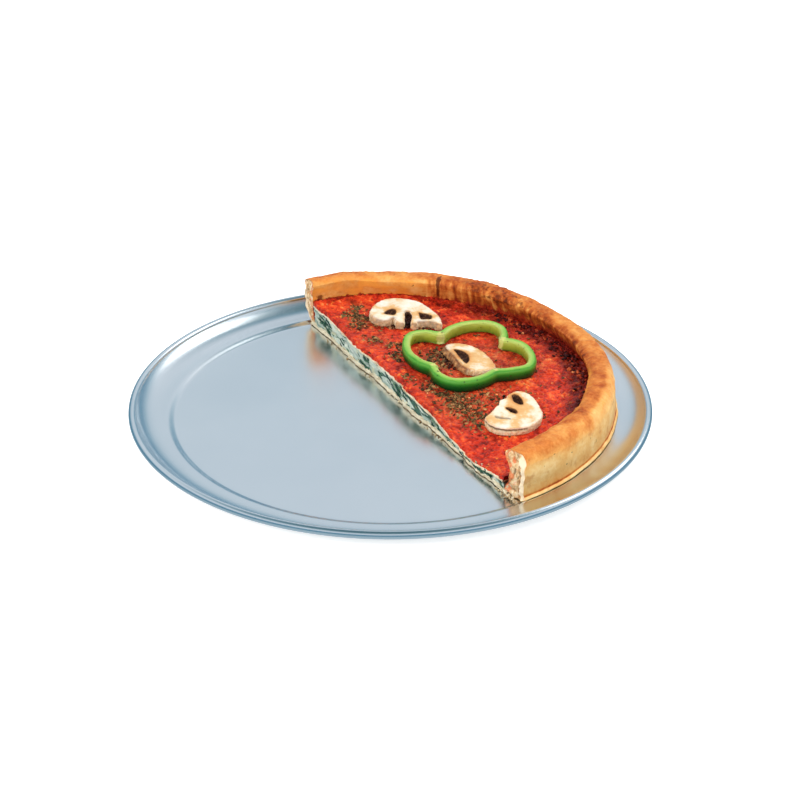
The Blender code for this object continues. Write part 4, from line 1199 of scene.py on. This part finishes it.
def make_slice(size, material):
    """A mushroom slice: its sheet with a rounded top edge and gills sunk in its openings, a bulging
    flank in rows below the outline and a flat underside; then turned, tilted to the sauce and set at
    its solid's height."""
    name, mid_x, mid_y, turn, thickness, outline, openings = size
    toward_x, toward_y, shade_amount, crease, pale = SIDE_SHADE_AND_PALE_TOP[name]
    x, y, depth, gill, slit, inward, quads, lone, brim = slice_sheet(name, mid_x, outline, openings)
    count = len(x)
    here = spot(x, y, 0.0)
    tall = 1000.0*thickness
    ridges = 0.5 + 0.5*np.sin(2.0*math.pi*(x + 0.8*noise(here, 3.0, 9, 2))/1.25)
    rounded = 0.55*np.clip(1.0 - depth/0.8, 0.0, 1.0)**2
    lifted = 0.9*noise(here, 26.0, 15, 1)
    top = tall - rounded + 0.22*noise(here, 7.0, 5, 3) - ease(gill/0.9)*(0.60*tall - 0.6*ridges)
    top = top - 0.7*ease((slit + 0.4)/0.9) + lifted
    under = 0.25*lifted
    # Painted shade: the side turned from the key lamp is marked for dark browns; its flank also bulges
    facing = -(inward[:, 0]*toward_x + inward[:, 1]*toward_y)
    shade_side = ease((facing - 0.1)/0.6)*shade_amount
    groove = (ease((facing - 0.55)/0.3)*crease)[brim]
    share = np.arange(1, FLANK_ROWS)[:, None]/FLANK_ROWS
    ruffle = 0.25*noise(spot(x[brim], y[brim], 6.0*share), 2.2, 21, 2)*(1.0 + 1.6*shade_side[brim])
    bulge = 0.45*np.sin(math.pi*share) - 0.35*share + 2.2*shade_side[brim]*share
    out = bulge - 0.7*groove*np.exp(-((share - 0.22)/0.10)**2) + ruffle
    flank = spot(x[brim] - out*inward[brim, 0], y[brim] - out*inward[brim, 1],
                 top[brim]*(1.0 - share) + under[brim]*share).reshape(-1, 3)
    points = np.concatenate((spot(x, y, top), spot(x, y, under), flank))
    ladder = np.empty((FLANK_ROWS + 1, count), int)
    ladder[0], ladder[-1] = np.arange(count), count + np.arange(count)
    ladder[1:-1, brim] = 2*count + np.arange(len(flank)).reshape(FLANK_ROWS - 1, -1)
    a, b = ladder[:-1][:, lone], ladder[1:][:, lone]
    rungs = np.stack((a[..., 1], a[..., 0], b[..., 0], b[..., 1]), axis=-1).reshape(-1, 4)
    faces = [quads, (quads + count)[:, ::-1], rungs]
    # Painted shade: the crease under the slice's edge takes the dark gill colour
    dark = (groove*np.exp(-((share - 0.22)/0.12)**2)).ravel()
    # Painted shade: the first slice's stem gap walls take the dark gill colour, partly gills, partly
    # shade
    if name == "mushroom_1":
        dark = within(flank[:, 0], -2.4, 0.8, 7.4, 0.8)*within(flank[:, 1], -19.0, 2.0, -1.6, 0.8)
    none, below = np.zeros(count), np.zeros(count + len(flank))
    gills = np.maximum(ease((gill + 0.35)/0.6), 0.6*ease((slit + 0.5)/0.8))
    toast = np.exp(-np.clip(-gill, 0.0, 99.0)/1.6) + np.exp(-depth/0.5)*0.5
    points = 0.001*points
    east, north = turned(points[:, 0], points[:, 1], turn)
    span = 0.8*0.001*max(math.hypot(*corner) for corner in outline)
    rise_x = float(sauce_level(mid_x + span, mid_y) - sauce_level(mid_x - span, mid_y))
    rise_y = float(sauce_level(mid_x, mid_y + span) - sauce_level(mid_x, mid_y - span))
    height = points[:, 2] + (east*rise_x + north*rise_y)/(2.0*span)
    low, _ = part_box(name)
    height = height - height.min() + low.z - 0.0004
    # Painted shade: 'browned' on the side turned from the key lamp, 'gill' in the crease and stem gap
    add_piece(name + "_dressed", spot(mid_x + east, mid_y + north, height), faces, material, "mushroom",
              (name,), rim=np.concatenate((depth, below)), gill=np.concatenate((gills, none, dark)),
              side=np.concatenate((none, 1.0 + below)), toast=np.concatenate((toast, below)) - pale,
              browned=np.concatenate((shade_side*np.exp(-depth/0.9), none,
                                      np.tile(0.9*shade_side[brim], FLANK_ROWS - 1))))


def make_mushrooms():
    """The three slices, and brown crumbs of stem beside their broken ends; the darkest, in the first
    slice's stem gap, are partly painted shade of the gap.
    """
    material = mushroom_flesh()
    for size in MUSHROOMS:
        make_slice(size, material)
    draw = np.random.default_rng(21)
    places = []
    for which, middle, spread, count in STEM_CRUMBS:
        _, mid_x, mid_y, turn, *_ = MUSHROOMS[which]
        a = 0.001*draw.normal(middle[0], spread[0], count)
        b = 0.001*draw.normal(middle[1], spread[1], count)
        east, north = turned(a, b, turn)
        places.append(spot(mid_x + east, mid_y + north))
    shaded_gap_crumbs = STEM_CRUMBS[0][-1]
    x, y = np.concatenate(places).T
    others = len(x) - shaded_gap_crumbs
    z, _, _ = sauce_top(x, y)
    sizes = draw.uniform(0.0006, 0.0017, (len(x), 3))*(1.0, 0.8, 0.6)
    stops = ((0.10, 24, 8, 6), (0.45, 58, 24, 16), (0.72, 124, 72, 44),
             (0.95, 206, 156, 106))
    # The crumbs in the stem gap are raised and darkest: partly stem crumbs, partly painted shade of the
    # gap
    lift = np.concatenate((draw.uniform(0.0, 0.0030, shaded_gap_crumbs), np.zeros(others)))
    tone = np.concatenate((draw.uniform(0.0, 0.35, shaded_gap_crumbs), draw.uniform(0.0, 1.0, others)))
    strew("stem_crumbs", spot(x, y, z + 0.0004 + lift), sizes,
          flake_finish("browned stem", stops, 0.55), "mushroom", 22, tone=tone)


def make_crumbs():
    """Crumbs of crust and filling along the foot of the cut and at the rim's near end."""
    draw = np.random.default_rng(31)
    along_cut, at_end = 40, 70
    count = along_cut + at_end
    x = np.concatenate((draw.uniform(-0.128, 0.130, along_cut), draw.normal(0.139, 0.0045, at_end)))
    y = CUT_Y - np.abs(draw.normal(0.0, 0.0009, count)) - 0.0002
    y[along_cut:] = CUT_Y + 0.0010 - np.abs(draw.normal(0.0, 0.0016, at_end))
    long = draw.uniform(0.0003, 0.0011, count)
    z = SHEET + 0.6*long
    z[along_cut:] += np.abs(draw.normal(0.0, 0.0012, at_end))
    sizes = spot(long, long*draw.uniform(0.6, 1.0, count), long*draw.uniform(0.5, 0.9, count))
    stops = ((0.10, 128, 96, 64), (0.40, 186, 156, 116), (0.75, 220, 202, 166),
             (0.95, 236, 226, 204))
    strew("crumbs", spot(x, y, z), sizes, flake_finish("crumbs", stops, 0.7), "crust", 32,
          tone=draw.uniform(0.0, 1.0, count))


# Stage

def make_stage():
    """A wide pale floor, soft light from above and a pale surround that is dimmer low down."""
    floor = bpy.data.meshes.new("floor")
    far = 12.0
    floor.from_pydata([(-far, -far, 0.0), (far, -far, 0.0), (far, far, 0.0), (-far, far, 0.0)], [],
                      [(0, 1, 2, 3)])
    material, place = start("pale floor")
    faint = place.cloud(0.3, 2.0, 1.0).ramp((0.3, 239, 239, 239), (0.7, 241, 241, 241))
    floor.materials.append(dress(material, Base_Color=faint, Roughness=0.9, Specular_IOR_Level=0.0,
                                 Emission_Color=(1.0, 0.94, 0.90, 1.0), Emission_Strength=0.55))
    item = put_in_scene("floor", floor)
    item.visible_glossy = False
    world = bpy.data.worlds.new("studio")
    bpy.context.scene.world = world
    world.use_nodes = True
    wire = Wire(world.node_tree)
    toward = wire.node("TexCoord", out="Generated")
    up = toward.part(2)
    glow = (up*0.5 + 0.5).ramp(
        (0.0, 176, 194, 204), (0.30, 156, 182, 196), (0.475, 72, 120, 142),
        (0.555, 74, 130, 160), (0.635, 132, 166, 184), (0.700, 188, 205, 215),
        (0.765, 224, 230, 237), (0.840, 206, 216, 224), (0.910, 120, 154, 170),
        (1.0, 66, 98, 104))
    back = world.node_tree.nodes["Background"]
    world.node_tree.links.new(glow.socket, back.inputs["Color"])
    back.inputs["Strength"].default_value = 1.0
    for name, place, size, power, gloss in LAMPS:
        lamp = bpy.data.lights.new(name, "AREA")
        lamp.size = size
        lamp.energy = power
        lamp.color = (1.0, 0.965, 0.91)
        holder = put_in_scene(name, lamp)
        holder.location = place
        holder.visible_glossy = gloss
        holder.rotation_mode = "QUATERNION"
        holder.rotation_quaternion = (-Vector(place)).to_track_quat("-Z", "Y")


def make_camera():
    """The photograph's view: 28 degrees up, from the near right end of the cut."""
    elevation, azimuth, roll = (math.radians(turn) for turn in (ELEVATION, AZIMUTH, ROLL))
    back = np.array((math.sin(azimuth)*math.cos(elevation), -math.cos(azimuth)*math.cos(elevation),
                     math.sin(elevation)))
    right = np.array((math.cos(azimuth), math.sin(azimuth), 0.0))
    up = np.cross(back, right)
    axes = (right*math.cos(roll) + up*math.sin(roll), up*math.cos(roll) - right*math.sin(roll), back)
    matrix = Matrix.Identity(4)
    for column, axis in enumerate(axes):
        for row in range(3):
            matrix[row][column] = axis[row]
            matrix[row][3] = DISTANCE*back[row]
    lens = bpy.data.cameras.new("camera")
    lens.sensor_width = SENSOR
    lens.lens = LENS
    lens.shift_x = (0.5*PICTURE - MIDDLE_SEEN[0])/PICTURE
    lens.shift_y = (MIDDLE_SEEN[1] - 0.5*PICTURE)/PICTURE
    camera = put_in_scene("camera", lens)
    camera.matrix_world = matrix
    bpy.context.scene.camera = camera
    bpy.context.scene.view_settings.view_transform = "Standard"


make_camera()
make_stage()
make_tray()
make_rim()
make_layers()
make_shreds()
make_sauce()
make_herbs()
make_bits()
make_pepper()
make_mushrooms()
make_crumbs()
